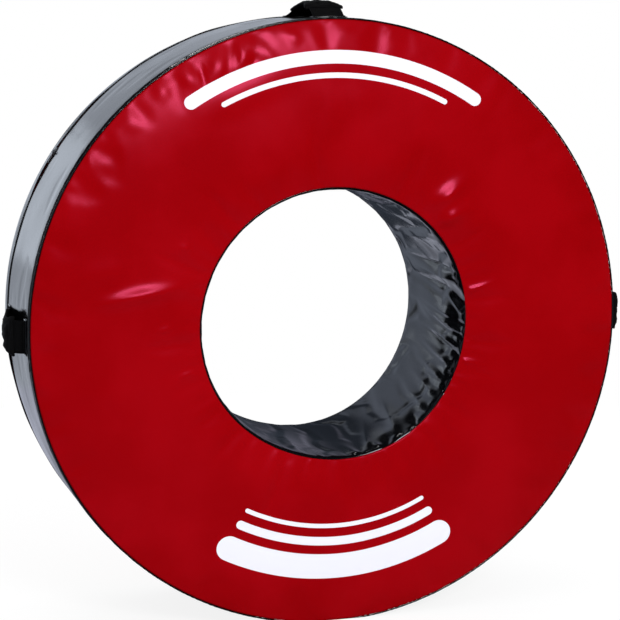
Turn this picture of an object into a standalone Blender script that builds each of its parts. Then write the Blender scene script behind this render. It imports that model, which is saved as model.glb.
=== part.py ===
"""Tackle roller: a foam ring in a zipped vinyl cover, with sewn grab handles.

Metres, +Z up. The ring stands on its tread with its axis along Y, and its red front
face looks along -Y. The origin is on the floor, in the middle of the patch that the
ring stands on.
"""

import math

import bmesh
import bpy
from mathutils import Matrix, Vector

# Ring
TREAD_RADIUS = 0.700
BORE_RADIUS = 0.313
SEAM_HALF_WIDTH = 0.195
FACE_CROWN = 0.006
RIM_DRAW = 0.005  # how far the rim seams lie inside the tread
SHOULDER_DROP = 0.0045
SHOULDER_WIDTH = 0.0165
BORE_EDGE_ROUND = 0.005
REST_SAG = 0.006  # how far the ring's own weight flattens it
RING_STEPS = 64
FACE_STEPS = 4

# Cover and core
VINYL = 0.0015
GAP = 0.0003
PIPING_RADIUS = 0.0018
PIPING_SET_BACK = 0.0005
PIPING_SIDES = 6
MIDDLE_SLAB_SHARE = 1 / 3  # of the width between the rim seams

# Zip
ZIP_INSET = 0.078  # from the rear seam to the chain's middle
CHAIN_WIDTH = 0.005
CHAIN_HEIGHT = 0.0024
CHAIN_TOP_SHARE = 0.5
TAPE_WIDTH = 0.005
TAPE = 0.001
ZIP_FIRST_STEP = -11  # ring steps from the top, clockwise seen from the front
ZIP_LAST_STEP = 23
STOP_LENGTH = 0.004
STOP_RISE = 0.0006

# Zip slider
SLIDER_STEP = -10
SLIDER_PLATE = 0.0012
FLANGE_WALL = 0.0020
CHANNEL_SIDE_GAP = 0.0006
SLIDER_NOSE = 0.005
SLIDER_SHOULDER = 0.004
SLIDER_TAIL = 0.012
NOSE_WIDTH_SHARE = 0.90
TAIL_WIDTH_SHARE = 1.15
BRIDGE_WIDTH = 0.003
BRIDGE_HALF_LENGTH = 0.004
BRIDGE_LEG = 0.0014
BRIDGE_WINDOW = 0.0032
BRIDGE_ROOF = 0.0012
BRIDGE_CHAMFER = 0.0009
BRIDGE_SINK = 0.0004

# Zip pull
PULL_THICKNESS = 0.0016
PULL_LENGTH = 0.030
PULL_HALF_WIDTH = 0.004
PULL_EYE_LENGTH = 0.0058
PULL_EYE_HALF_WIDTH = 0.0020
PULL_SLOT_START = 0.012
PULL_SLOT_END = 0.024
PULL_SLOT_HALF_WIDTH = 0.0018
PULL_ROUND = 0.003
ROUND_STEPS = 3  # along each rounded corner
PULL_DIP = math.radians(6.0)

# Handles
GRIP_MARGIN = 0.007  # how much wider a grip is than its strap, each side
GRIP_THICKNESS = 0.012
GRIP_EDGE_SHARE = 0.62  # thickness beside the grip's edge, as a share of the middle's
GRIP_EDGE_INSET = 0.004
STRAP_WIDTH = 0.072
STRAP = 0.0022
PATCH = 0.0015
PATCH_MARGIN = 0.004
PATCH_REACH = 0.012  # how far a patch runs on under the arch
HANDLE_INSET = 0.033  # from the front seam to the strap's end
HANDLE_TO_ZIP = 0.005
FRONT_FOOT = 0.012  # the sewn end that lies flat, in front of the arch
REAR_FOOT = 0.020
SIDE_ARCH_RISE = 0.0305
TOP_ARCH_RISE = 0.0265
PLAIN_LEAN_SHARE = 0.6  # under 1 leans an arch towards the front face
RIGHT_LEAN_SHARE = 0.35
ARCH_STEPS = 16
GRIP_FIRST_STEP = 4
GRIP_LAST_STEP = 12

# How far each handle is turned clockwise from the top, seen from the front, its arch's
# rise and its lean
STANDING_HANDLES = {
    "left": (math.radians(-90.0), SIDE_ARCH_RISE, PLAIN_LEAN_SHARE),
    "top": (0.0, TOP_ARCH_RISE, PLAIN_LEAN_SHARE),
    "right": (math.radians(90.0), SIDE_ARCH_RISE, RIGHT_LEAN_SHARE),
}

# Worked out from the sizes above
STEP_ANGLE = math.tau / RING_STEPS
RIDGE_SLOPE = math.tan(STEP_ANGLE / 2)
AXIS_HEIGHT = TREAD_RADIUS - REST_SAG
RIM_SEAM_RADIUS = TREAD_RADIUS - RIM_DRAW
BORE_SEAM_RADIUS = BORE_RADIUS + BORE_EDGE_ROUND
BORE_STRAIGHT = SEAM_HALF_WIDTH - BORE_EDGE_ROUND
VINYL_BACK_RADIUS = TREAD_RADIUS - VINYL
CORE_RADIUS = VINYL_BACK_RADIUS - GAP
CORE_BORE_RADIUS = BORE_RADIUS + VINYL + GAP
PIPING_PLACE = SEAM_HALF_WIDTH - PIPING_SET_BACK
TREAD_EDGE = PIPING_PLACE - PIPING_RADIUS - GAP
TREAD_FLAT = TREAD_EDGE - SHOULDER_WIDTH
SLAB_SPLIT = SEAM_HALF_WIDTH * MIDDLE_SLAB_SHARE
ZIP_PLACE = SEAM_HALF_WIDTH - ZIP_INSET
TAPE_INNER = CHAIN_WIDTH / 2 + GAP
TAPE_OUTER = TAPE_INNER + TAPE_WIDTH
ZIP_FRONT_EDGE = ZIP_PLACE - TAPE_OUTER - GAP
ZIP_REAR_EDGE = ZIP_PLACE + TAPE_OUTER + GAP
TAPE_TOP_RADIUS = VINYL_BACK_RADIUS + TAPE
CHAIN_TOP_RADIUS = VINYL_BACK_RADIUS + CHAIN_HEIGHT
FACET_LENGTH = 2 * VINYL_BACK_RADIUS * math.sin(STEP_ANGLE / 2)
GAP_STEPS = GAP / FACET_LENGTH
FOOT_HEIGHT = -BORE_RADIUS * math.cos(2 * STEP_ANGLE)  # faces below the axis by this bend
STOP_STEPS = STOP_LENGTH / FACET_LENGTH
SADDLE_ROOF = CHAIN_TOP_RADIUS + GAP
SADDLE_FOOT = TAPE_TOP_RADIUS + GAP
PLATE_TOP = SADDLE_ROOF + SLIDER_PLATE
PULL_AXIS = PLATE_TOP + BRIDGE_WINDOW / 2
FOOT_FRONT = HANDLE_INSET - SEAM_HALF_WIDTH
FRONT_RISE = FOOT_FRONT + FRONT_FOOT
FOOT_REAR = ZIP_FRONT_EDGE - HANDLE_TO_ZIP - PATCH_MARGIN
REAR_RISE = FOOT_REAR - REAR_FOOT
GRIP_HALF_WIDTH = STRAP_WIDTH / 2 + GRIP_MARGIN
STRAP_REST = 2 * GAP + PATCH + STRAP / 2
PRESSED_THICKNESS = 2 * (PATCH + GAP) + STRAP
DENT_DEPTH = PRESSED_THICKNESS + GAP
DENT_FRONT = FOOT_FRONT - PATCH_MARGIN - GAP
DENT_REAR = FOOT_REAR + PATCH_MARGIN + GAP
FRONT_PATCH = (FOOT_FRONT - PATCH_MARGIN, FRONT_RISE + PATCH_REACH)
REAR_PATCH = (REAR_RISE - PATCH_REACH, FOOT_REAR + PATCH_MARGIN)

# For meshes
SHARP_ANGLE = math.radians(65.0)
MERGE_DISTANCE = 1e-7

# Finishes: linear colour, roughness and metallic value
RED_VINYL = ((0.30, 0.004, 0.006), 0.35, 0.0)
BLACK_VINYL = ((0.012, 0.013, 0.015), 0.30, 0.0)
BLACK_PIPING = ((0.010, 0.010, 0.011), 0.40, 0.0)
BLACK_NYLON = ((0.008, 0.008, 0.009), 0.75, 0.0)
ZIP_BLACK = ((0.010, 0.010, 0.011), 0.60, 0.0)
FOAM_GREY = ((0.22, 0.23, 0.24), 0.95, 0.0)
DARK_METAL = ((0.05, 0.05, 0.055), 0.40, 1.0)


def clear_scene():
    for obj in list(bpy.data.objects):
        bpy.data.objects.remove(obj, do_unlink=True)


def make_material(name, finish):
    """A plain Principled material."""
    colour, roughness, metallic = finish
    material = bpy.data.materials.new(name)
    material.use_nodes = True
    shader = material.node_tree.nodes["Principled BSDF"]
    shader.inputs["Base Color"].default_value = (*colour, 1.0)
    shader.inputs["Roughness"].default_value = roughness
    shader.inputs["Metallic"].default_value = metallic
    return material


def mesh_from(bm, name, finish):
    """A mesh whose faces point out, shaded smooth where the piece is round."""
    bmesh.ops.recalc_face_normals(bm, faces=bm.faces)
    mesh = bpy.data.meshes.new(name)
    bm.to_mesh(mesh)
    bm.free()
    mesh.shade_smooth()
    mesh.set_sharp_from_angle(angle=SHARP_ANGLE)
    mesh.materials.append(make_material(name, finish))
    return mesh


def add_object(name, mesh, location=(0.0, 0.0, 0.0), turn=0.0, parent=None):
    """One named piece, turned about Y."""
    obj = bpy.data.objects.new(name, mesh)
    bpy.context.scene.collection.objects.link(obj)
    obj.location = location
    obj.rotation_euler = (0.0, turn, 0.0)
    obj.parent = parent
    return obj


def solid(sections, closed=False):
    """A body through a run of outlines with equal point counts.

    A closed run meets itself again, and an open one gets a flat face on each end.
    """
    bm = bmesh.new()
    loops = [[bm.verts.new(point) for point in section] for section in sections]
    following = loops[1:] + loops[:1] if closed else loops[1:]
    for loop, later in zip(loops, following):
        for k, vert in enumerate(loop):
            n = (k + 1) % len(loop)
            bm.faces.new((vert, loop[n], later[n], later[k]))
    if not closed:
        bm.faces.new(loops[0])
        bm.faces.new(loops[-1])
    return bm


def sleeve(outer_sections, slot_sections):
    """A body with a slot right through it: out along the one and back along the other."""
    return solid(outer_sections + slot_sections[::-1], closed=True)


def dent_share(y):
    """How much of the bottom handle's dent is there at this place along the axis."""
    front = (y + TREAD_FLAT) / (DENT_FRONT + TREAD_FLAT)
    rear = (ZIP_FRONT_EDGE - y) / (ZIP_FRONT_EDGE - DENT_REAR)
    return max(0.0, min(1.0, front, rear))


def press_on_floor(bm):
    """Flattens the ring's foot on the floor, and round the handle that lies under it.

    The tread takes the whole of the push and the bore none, so the layers keep apart.
    The faces round the foot are split across their short way, alike in every layer.
    """
    for vert in bm.verts:
        radius = math.hypot(vert.co.x, vert.co.z)
        angle = abs(math.atan2(vert.co.x, -vert.co.z))
        over_handle = angle < 1.5 * STEP_ANGLE
        floor = DENT_DEPTH * dent_share(vert.co.y) if over_handle else 0.0
        height = AXIS_HEIGHT - TREAD_RADIUS * math.cos(angle)
        depth_share = (radius - BORE_RADIUS) / (TREAD_RADIUS - BORE_RADIUS)
        vert.co.z += max(0.0, floor - height) * depth_share
    bent = [face for face in bm.faces if face.calc_center_median().z < FOOT_HEIGHT]
    bmesh.ops.triangulate(bm, faces=bent, quad_method="SHORT_EDGE")


def station(profile, step):
    """A profile of (radius, y) points at a step round the ring, on its straight facets."""
    whole = math.floor(step)
    outlines = []
    for k in (whole, whole + 1):
        turn = Matrix.Rotation(k * STEP_ANGLE, 3, "Y")
        outlines.append([turn @ Vector((0.0, y, radius)) for radius, y in profile])
    return [start.lerp(end, step - whole) for start, end in zip(*outlines)]


def add_ring(name, profile, finish):
    """A profile turned all the way round the ring's axis."""
    bm = solid([station(profile, step) for step in range(RING_STEPS)], closed=True)
    press_on_floor(bm)
    mesh = mesh_from(bm, name, finish)
    return add_object(name, mesh, location=(0.0, 0.0, AXIS_HEIGHT))


def add_arc(name, profile, first, last, finish):
    """A profile turned part of the way, between two steps clockwise from the top."""
    between = range(math.floor(first) + 1, math.ceil(last))
    bm = solid([station(profile, step) for step in (first, *between, last)])
    press_on_floor(bm)
    mesh = mesh_from(bm, name, finish)
    return add_object(name, mesh, location=(0.0, 0.0, AXIS_HEIGHT))


def crown(share):
    """How far a face bulges, at a share of the way from bore seam to rim seam."""
    return FACE_CROWN * 4 * share * (1 - share)


def panel_back(radius):
    """The distance of a panel's back from the ring's middle, in two straight runs."""
    share = (radius - BORE_SEAM_RADIUS) / (RIM_SEAM_RADIUS - BORE_SEAM_RADIUS)
    return SEAM_HALF_WIDTH - VINYL + FACE_CROWN * 2 * min(share, 1 - share)


def face_profile(side):
    """A crowned face panel, from bore seam to rim seam and back along its inside."""
    reach = RIM_SEAM_RADIUS - BORE_SEAM_RADIUS
    shares = [k / FACE_STEPS for k in range(FACE_STEPS + 1)]
    outside = [
        (BORE_SEAM_RADIUS + reach * share, side * (SEAM_HALF_WIDTH + crown(share)))
        for share in shares
    ]
    corners = (RIM_SEAM_RADIUS, BORE_SEAM_RADIUS + reach / 2, BORE_SEAM_RADIUS)
    inside = [(radius, side * panel_back(radius)) for radius in corners]
    return outside + inside


def shoulder(side, radius):
    """A shoulder of the tread, from beside the piping up to the flat at this radius."""
    edge = (radius - SHOULDER_DROP, side * TREAD_EDGE)
    return [edge, (radius, side * TREAD_FLAT)]


def tread_profile():
    """The wide band in front of the zip, with points at the dent's corners."""
    places = (DENT_FRONT, DENT_REAR, ZIP_FRONT_EDGE)
    outside = shoulder(-1, TREAD_RADIUS) + [(TREAD_RADIUS, y) for y in places]
    inside = shoulder(-1, VINYL_BACK_RADIUS) + [(VINYL_BACK_RADIUS, y) for y in places]
    return outside + inside[::-1]


def rear_tread_profile():
    """The narrow band behind the zip."""
    outside = shoulder(1, TREAD_RADIUS) + [(TREAD_RADIUS, ZIP_REAR_EDGE)]
    inside = shoulder(1, VINYL_BACK_RADIUS) + [(VINYL_BACK_RADIUS, ZIP_REAR_EDGE)]
    return outside + inside[::-1]


def sleeve_profile():
    """The bore sleeve, which turns out at both ends to meet the face panels."""
    end = BORE_SEAM_RADIUS - GAP
    back = BORE_RADIUS + VINYL
    bore_side = [
        (end, -SEAM_HALF_WIDTH),
        (BORE_RADIUS, -BORE_STRAIGHT),
        (BORE_RADIUS, BORE_STRAIGHT),
        (end, SEAM_HALF_WIDTH),
    ]
    core_side = [
        (end, SEAM_HALF_WIDTH - VINYL),
        (back, BORE_STRAIGHT),
        (back, -BORE_STRAIGHT),
        (end, VINYL - SEAM_HALF_WIDTH),
    ]
    return bore_side + core_side


def piping_profile(side):
    """The corded piping in a rim seam."""
    middle = RIM_SEAM_RADIUS + GAP + PIPING_RADIUS
    points = []
    for k in range(PIPING_SIDES):
        angle = math.tau * k / PIPING_SIDES
        radius = middle + PIPING_RADIUS * math.cos(angle)
        points.append((radius, side * PIPING_PLACE + PIPING_RADIUS * math.sin(angle)))
    return points


def core_face(side):
    """An outer foam slab's edge and face, from the tread's shoulder to the bore."""
    rim = VINYL_BACK_RADIUS - SHOULDER_DROP - 2 * GAP
    middle = (BORE_SEAM_RADIUS + RIM_SEAM_RADIUS) / 2
    face = [
        (radius, side * (panel_back(radius) - GAP))
        for radius in (rim, middle, BORE_SEAM_RADIUS)
    ]
    shoulder_start = (CORE_RADIUS, side * TREAD_FLAT)
    bore_edge = (CORE_BORE_RADIUS, side * BORE_STRAIGHT)
    return [shoulder_start] + face + [bore_edge]


def front_slab_profile():
    split = -SLAB_SPLIT - GAP
    rim = [(CORE_RADIUS, split), (CORE_RADIUS, DENT_FRONT)]
    return rim + core_face(-1) + [(CORE_BORE_RADIUS, split)]


def middle_slab_profile():
    half = SLAB_SPLIT
    return [
        (CORE_RADIUS, -half),
        (CORE_RADIUS, half),
        (CORE_BORE_RADIUS, half),
        (CORE_BORE_RADIUS, -half),
    ]


def rear_slab_profile():
    split = SLAB_SPLIT + GAP
    rim = [(CORE_RADIUS, y) for y in (split, DENT_REAR, ZIP_FRONT_EDGE)]
    return rim + core_face(1) + [(CORE_BORE_RADIUS, split)]


def build_core():
    add_ring("foam_slab_front", front_slab_profile(), FOAM_GREY)
    add_ring("foam_slab_middle", middle_slab_profile(), FOAM_GREY)
    add_ring("foam_slab_rear", rear_slab_profile(), FOAM_GREY)


def build_cover():
    add_ring("front_panel", face_profile(-1), RED_VINYL)
    add_ring("rear_panel", face_profile(1), RED_VINYL)
    add_ring("tread_band", tread_profile(), BLACK_VINYL)
    add_ring("rear_tread_band", rear_tread_profile(), BLACK_VINYL)
    add_ring("bore_sleeve", sleeve_profile(), BLACK_VINYL)
    add_ring("front_piping", piping_profile(-1), BLACK_PIPING)
    add_ring("rear_piping", piping_profile(1), BLACK_PIPING)


def strip_profile(low, high):
    """A flat strip on the core, between two places along the axis."""
    return [
        (VINYL_BACK_RADIUS, low),
        (TAPE_TOP_RADIUS, low),
        (TAPE_TOP_RADIUS, high),
        (VINYL_BACK_RADIUS, high),
    ]


def chain_profile(rise=0.0):
    """The closed teeth as one low ridge, or a stop that stands higher than they do."""
    half = CHAIN_WIDTH / 2
    top_half = half * CHAIN_TOP_SHARE
    waist = VINYL_BACK_RADIUS + CHAIN_HEIGHT / 2
    top = CHAIN_TOP_RADIUS + rise
    return [
        (VINYL_BACK_RADIUS, ZIP_PLACE - half),
        (waist, ZIP_PLACE - half),
        (top, ZIP_PLACE - top_half),
        (top, ZIP_PLACE + top_half),
        (waist, ZIP_PLACE + half),
        (VINYL_BACK_RADIUS, ZIP_PLACE + half),
    ]


def build_zip():
    """The chain between its two tapes, a stop at each end, and the strip that closes
    the rest of the seam."""
    first = ZIP_FIRST_STEP
    last = ZIP_LAST_STEP
    front_tape = strip_profile(ZIP_PLACE - TAPE_OUTER, ZIP_PLACE - TAPE_INNER)
    rear_tape = strip_profile(ZIP_PLACE + TAPE_INNER, ZIP_PLACE + TAPE_OUTER)
    add_arc("zip_front_tape", front_tape, first, last, ZIP_BLACK)
    add_arc("zip_rear_tape", rear_tape, first, last, ZIP_BLACK)
    chain_inset = STOP_STEPS + GAP_STEPS
    add_arc("zip_chain", chain_profile(), first + chain_inset, last - chain_inset, ZIP_BLACK)
    stop = chain_profile(STOP_RISE)
    add_arc("zip_top_stop", stop, first, first + STOP_STEPS, DARK_METAL)
    add_arc("zip_end_stop", stop, last - STOP_STEPS, last, DARK_METAL)
    closure = strip_profile(ZIP_PLACE - TAPE_OUTER, ZIP_PLACE + TAPE_OUTER)
    closure_end = first + RING_STEPS - GAP_STEPS
    add_arc("closure_strip", closure, last + GAP_STEPS, closure_end, ZIP_BLACK)


def saddle_section(x, width_share):
    """The slider's body in section: a plate over the chain, with a flange each side."""
    channel = CHAIN_WIDTH / 2 + CHANNEL_SIDE_GAP
    half = (channel + FLANGE_WALL) * width_share
    outline = [
        (channel, SADDLE_ROOF),
        (channel, SADDLE_FOOT),
        (half, SADDLE_FOOT),
        (half, PLATE_TOP),
        (-half, PLATE_TOP),
        (-half, SADDLE_FOOT),
        (-channel, SADDLE_FOOT),
        (-channel, SADDLE_ROOF),
    ]
    return [(x, y, z) for y, z in outline]


def bridge_section(y):
    """The loop on the slider that carries the pull, seen from the side."""
    half = BRIDGE_HALF_LENGTH
    inner = half - BRIDGE_LEG
    foot = PLATE_TOP - BRIDGE_SINK
    roof = PLATE_TOP + BRIDGE_WINDOW
    top = roof + BRIDGE_ROOF
    outline = [
        (-half, foot),
        (-half, top - BRIDGE_CHAMFER),
        (-half + BRIDGE_CHAMFER, top),
        (half - BRIDGE_CHAMFER, top),
        (half, top - BRIDGE_CHAMFER),
        (half, foot),
        (inner, foot),
        (inner, roof),
        (-inner, roof),
        (-inner, foot),
    ]
    return [(x, y, z) for x, z in outline]


def build_slider():
    """The slider rides on the chain; its origin is on the ring's axis."""
    body = solid([
        saddle_section(-SLIDER_NOSE, NOSE_WIDTH_SHARE),
        saddle_section(SLIDER_SHOULDER, 1.0),
        saddle_section(SLIDER_TAIL, TAIL_WIDTH_SHARE),
    ])
    slider = add_object(
        "zip_slider",
        mesh_from(body, "zip_slider", DARK_METAL),
        location=(0.0, ZIP_PLACE, AXIS_HEIGHT),
        turn=SLIDER_STEP * STEP_ANGLE,
    )
    bridge = solid([bridge_section(-BRIDGE_WIDTH / 2), bridge_section(BRIDGE_WIDTH / 2)])
    guide = add_object("bridge_guide", mesh_from(bridge, "bridge_guide", DARK_METAL), parent=slider)
    guide.hide_render = True
    guide.display_type = "WIRE"
    union = slider.modifiers.new("bridge", "BOOLEAN")
    union.operation = "UNION"
    union.solver = "EXACT"
    union.object = guide
    return slider


def rounded_box(start, end, half_width, radius):
    """A rectangle along X with round corners."""
    corners = [
        (start + radius, radius - half_width, 180.0),
        (end - radius, radius - half_width, 270.0),
        (end - radius, half_width - radius, 0.0),
        (start + radius, half_width - radius, 90.0),
    ]
    points = []
    for x, y, first_angle in corners:
        for k in range(ROUND_STEPS + 1):
            angle = math.radians(first_angle + 90.0 * k / ROUND_STEPS)
            points.append((x + radius * math.cos(angle), y + radius * math.sin(angle)))
    return points


def square_box(start, end, half_width):
    """A rectangle along X with square corners."""
    return [(start, -half_width), (end, -half_width), (end, half_width), (start, half_width)]


def build_pull(slider):
    """A flat tab, hooked by its eye round the bridge's leg, that pivots in the window."""
    half_bar = PULL_THICKNESS / 2
    tab = rounded_box(-PULL_LENGTH, half_bar, PULL_HALF_WIDTH, PULL_ROUND)
    eye = square_box(-PULL_EYE_LENGTH, -half_bar, PULL_EYE_HALF_WIDTH)
    slot_half = PULL_SLOT_HALF_WIDTH
    slot = rounded_box(-PULL_SLOT_END, -PULL_SLOT_START, slot_half, slot_half)
    bm = bmesh.new()
    edges = []
    for outline in (tab, eye, slot):
        verts = [bm.verts.new((x, y, -half_bar)) for x, y in outline]
        edges += [bm.edges.new(pair) for pair in zip(verts, verts[1:] + verts[:1])]
    bmesh.ops.remove_doubles(bm, verts=bm.verts, dist=MERGE_DISTANCE)
    bmesh.ops.triangle_fill(bm, use_beauty=True, edges=bm.edges)
    grown = bmesh.ops.extrude_face_region(bm, geom=bm.faces)["geom"]
    raised = [item for item in grown if isinstance(item, bmesh.types.BMVert)]
    bmesh.ops.translate(bm, verts=raised, vec=(0.0, 0.0, PULL_THICKNESS))
    add_object(
        "zip_pull",
        mesh_from(bm, "zip_pull", DARK_METAL),
        location=(0.0, 0.0, PULL_AXIS),
        turn=-PULL_DIP,
        parent=slider,
    )


def strap_path(rise, lean_share):
    """The strap's middle, as (y, height over the tread): a foot, the arch, a foot."""
    path = [(FOOT_FRONT, STRAP_REST)]
    for k in range(ARCH_STEPS + 1):
        share = k / ARCH_STEPS
        y = FRONT_RISE + (REAR_RISE - FRONT_RISE) * share ** (1 / lean_share)
        path.append((y, STRAP_REST + rise * math.sin(math.pi * share)))
    path.append((FOOT_REAR, STRAP_REST))
    return [Vector(place) for place in path]


def path_frames(path):
    """Each place on the strap's path with the direction square to it."""
    frames = []
    for k, place in enumerate(path):
        before = path[max(k - 1, 0)]
        after = path[min(k + 1, len(path) - 1)]
        leaving = (after - place).normalized()
        arriving = (place - before).normalized()
        along = (leaving + arriving).normalized()
        frames.append((place, Vector((-along.y, along.x))))
    return frames


def over_ridge(place, square, outline):
    """An outline of (across, out) points set on the path, bent with the tread's ridge."""
    points = []
    for across, out in outline:
        y, height = place + square * out
        points.append((across, y, height - abs(across) * RIDGE_SLOPE))
    return points


def flat_outline(half_width, low, high):
    """A flat strip in section, with a middle line on each face."""
    upper = [(-half_width, high), (0.0, high), (half_width, high)]
    lower = [(half_width, low), (0.0, low), (-half_width, low)]
    return upper + lower


def grip_outline():
    """The padded grip in section: crowned, and drawn in at both edges."""
    half = GRIP_HALF_WIDTH
    inset = half - GRIP_EDGE_INSET
    top = GRIP_THICKNESS / 2
    side = top * GRIP_EDGE_SHARE
    upper = [(-half, 0.0), (-inset, side), (0.0, top), (inset, side)]
    lower = [(-across, -out) for across, out in upper]
    return upper + lower


def slot_outline():
    """The slot through the grip, point for point with the grip's outline."""
    half = STRAP_WIDTH / 2 + GAP
    high = STRAP / 2 + GAP
    upper = [(-half, 0.0), (-half, high), (0.0, high), (half, high)]
    lower = [(-across, -out) for across, out in upper]
    return upper + lower


def handle_meshes(rise, lean_share):
    """The pieces of a standing handle, with their origin on the tread below its middle."""
    frames = path_frames(strap_path(rise, lean_share))
    strap_outline = flat_outline(STRAP_WIDTH / 2, -STRAP / 2, STRAP / 2)
    strap = solid([over_ridge(*frame, strap_outline) for frame in frames])
    padded = frames[GRIP_FIRST_STEP + 1:GRIP_LAST_STEP + 2]
    grip = sleeve(
        [over_ridge(*frame, grip_outline()) for frame in padded],
        [over_ridge(*frame, slot_outline()) for frame in padded],
    )
    return {
        "strap": mesh_from(strap, "handle_strap", BLACK_NYLON),
        "grip": mesh_from(grip, "handle_grip", BLACK_NYLON),
        "front_patch": patch_mesh("handle_front_patch", *FRONT_PATCH),
        "rear_patch": patch_mesh("handle_rear_patch", *REAR_PATCH),
    }


def patch_mesh(name, start, end):
    """The doubled vinyl that a strap's foot is sewn to."""
    outline = flat_outline(STRAP_WIDTH / 2 + PATCH_MARGIN, GAP, GAP + PATCH)
    upright = Vector((0.0, 1.0))
    sections = [over_ridge(Vector((y, 0.0)), upright, outline) for y in (start, end)]
    return mesh_from(solid(sections), name, BLACK_VINYL)


def build_handles():
    for side, (turn, rise, lean_share) in STANDING_HANDLES.items():
        foot = Matrix.Rotation(turn, 3, "Y") @ Vector((0.0, 0.0, TREAD_RADIUS))
        location = foot + Vector((0.0, 0.0, AXIS_HEIGHT))
        for piece, mesh in handle_meshes(rise, lean_share).items():
            add_object(f"{side}_{piece}", mesh, location=location, turn=turn)


def slab(half_width, low, high, start, end):
    """A flat rectangular run along the axis, between two heights over the floor."""
    outline = [(-half_width, low), (half_width, low), (half_width, high), (-half_width, high)]
    return [[(x, y, z) for x, z in outline] for y in (start, end)]


def build_pressed_handle():
    """The handle at the bottom, which the ring's weight presses flat on the floor."""
    strap_low = PATCH + GAP
    strap_high = strap_low + STRAP
    strap_half = STRAP_WIDTH / 2
    strap = solid(slab(strap_half, strap_low, strap_high, FOOT_FRONT, FOOT_REAR))
    add_object("bottom_strap", mesh_from(strap, "bottom_strap", BLACK_NYLON))
    path = strap_path(SIDE_ARCH_RISE, PLAIN_LEAN_SHARE)
    start = path[GRIP_FIRST_STEP + 1].x
    end = path[GRIP_LAST_STEP + 1].x
    grip = sleeve(
        slab(GRIP_HALF_WIDTH, 0.0, PRESSED_THICKNESS, start, end),
        slab(strap_half + GAP, strap_low - GAP, strap_high + GAP, start, end),
    )
    add_object("bottom_grip", mesh_from(grip, "bottom_grip", BLACK_NYLON))
    patch_half = strap_half + PATCH_MARGIN
    patch_low = strap_high + GAP
    for name, span in (("bottom_front_patch", FRONT_PATCH), ("bottom_rear_patch", REAR_PATCH)):
        patch = solid(slab(patch_half, patch_low, PRESSED_THICKNESS, *span))
        add_object(name, mesh_from(patch, name, BLACK_VINYL))


clear_scene()
build_core()
build_cover()
build_zip()
build_pull(build_slider())
build_handles()
build_pressed_handle()
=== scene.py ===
import math
import random
from collections import namedtuple

import bmesh
import bpy
import numpy as np
from mathutils import Matrix, Vector, noise


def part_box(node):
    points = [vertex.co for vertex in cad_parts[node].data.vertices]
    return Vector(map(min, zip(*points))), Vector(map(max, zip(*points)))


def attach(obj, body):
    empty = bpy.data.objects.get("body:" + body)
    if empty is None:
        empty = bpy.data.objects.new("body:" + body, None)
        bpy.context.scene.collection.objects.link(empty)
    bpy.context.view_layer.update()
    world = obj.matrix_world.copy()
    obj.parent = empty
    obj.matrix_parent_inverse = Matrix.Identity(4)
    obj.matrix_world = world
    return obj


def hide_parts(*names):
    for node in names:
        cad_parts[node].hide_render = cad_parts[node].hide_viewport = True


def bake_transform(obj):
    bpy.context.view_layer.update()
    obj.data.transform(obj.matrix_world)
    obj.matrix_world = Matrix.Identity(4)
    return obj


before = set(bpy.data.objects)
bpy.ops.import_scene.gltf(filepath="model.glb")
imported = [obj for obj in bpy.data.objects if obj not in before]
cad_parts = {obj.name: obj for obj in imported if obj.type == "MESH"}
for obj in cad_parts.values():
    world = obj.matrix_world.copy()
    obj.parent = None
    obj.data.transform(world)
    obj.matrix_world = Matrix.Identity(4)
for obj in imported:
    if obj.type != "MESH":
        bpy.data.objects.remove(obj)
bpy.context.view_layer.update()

# Camera, at the photograph's viewing angle
CAMERA_AZIMUTH = math.radians(-16.727)
CAMERA_ELEVATION = math.radians(8.387)
CAMERA_DISTANCE = 4.655
CAMERA_OFFSET = Vector((0.0049, 0.0, 0.0116))  # from the ring's middle
CAMERA_LENS = 113.52
CAMERA_SENSOR = 36.0
CAMERA_SHIFT = (-0.0023, -0.0010)

# The ring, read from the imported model
AXIS_HEIGHT = sum(corner.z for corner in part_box("bore_sleeve")) / 2
AXIS = Vector((0.0, 0.0, AXIS_HEIGHT))
TREAD_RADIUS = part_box("tread_band")[1].z - AXIS_HEIGHT
RIM_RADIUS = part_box("front_panel")[1].z - AXIS_HEIGHT
BORE_SEAM_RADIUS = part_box("bore_sleeve")[1].z - AXIS_HEIGHT
SEAM_HALF_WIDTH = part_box("bore_sleeve")[1].y
TREAD_EDGE = -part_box("tread_band")[0].y
ZIP_FRONT_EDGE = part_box("tread_band")[1].y
ZIP_REAR_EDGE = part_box("rear_tread_band")[0].y
ZIP_PLACE = (ZIP_FRONT_EDGE + ZIP_REAR_EDGE) / 2
SLAB_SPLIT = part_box("foam_slab_middle")[1].y

# Cover
VINYL = 0.0015
FACE_CROWN = 0.0125
CROWN_POWER = 3.2
SEAM_ROWS_SHARE = 0.055  # draws a face's rows of mesh towards its two seams
SHOULDER_DROP = 0.0045
SHOULDER_WIDTH = 0.0165
SHOULDER_SHARES = (0.0, 0.33, 0.66, 0.93)  # where its rows of mesh are
CREASE_HALF_WIDTH = 0.0011
REAR_RIM_DRAW = 0.006  # the rear rim is drawn in further than the front one
REAR_FALL_POWER = 3.0
BORE_EDGE_ROUND = 0.005
TREAD_FLAT = TREAD_EDGE - SHOULDER_WIDTH
BORE_RADIUS = BORE_SEAM_RADIUS - BORE_EDGE_ROUND
PIPING_RADIUS = 0.0018
PIPING_GAP = 0.0003
FOAM_INSET = 0.011
FOAM_SLIT = 0.0006
FOAM_ROUND = 0.004

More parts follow.
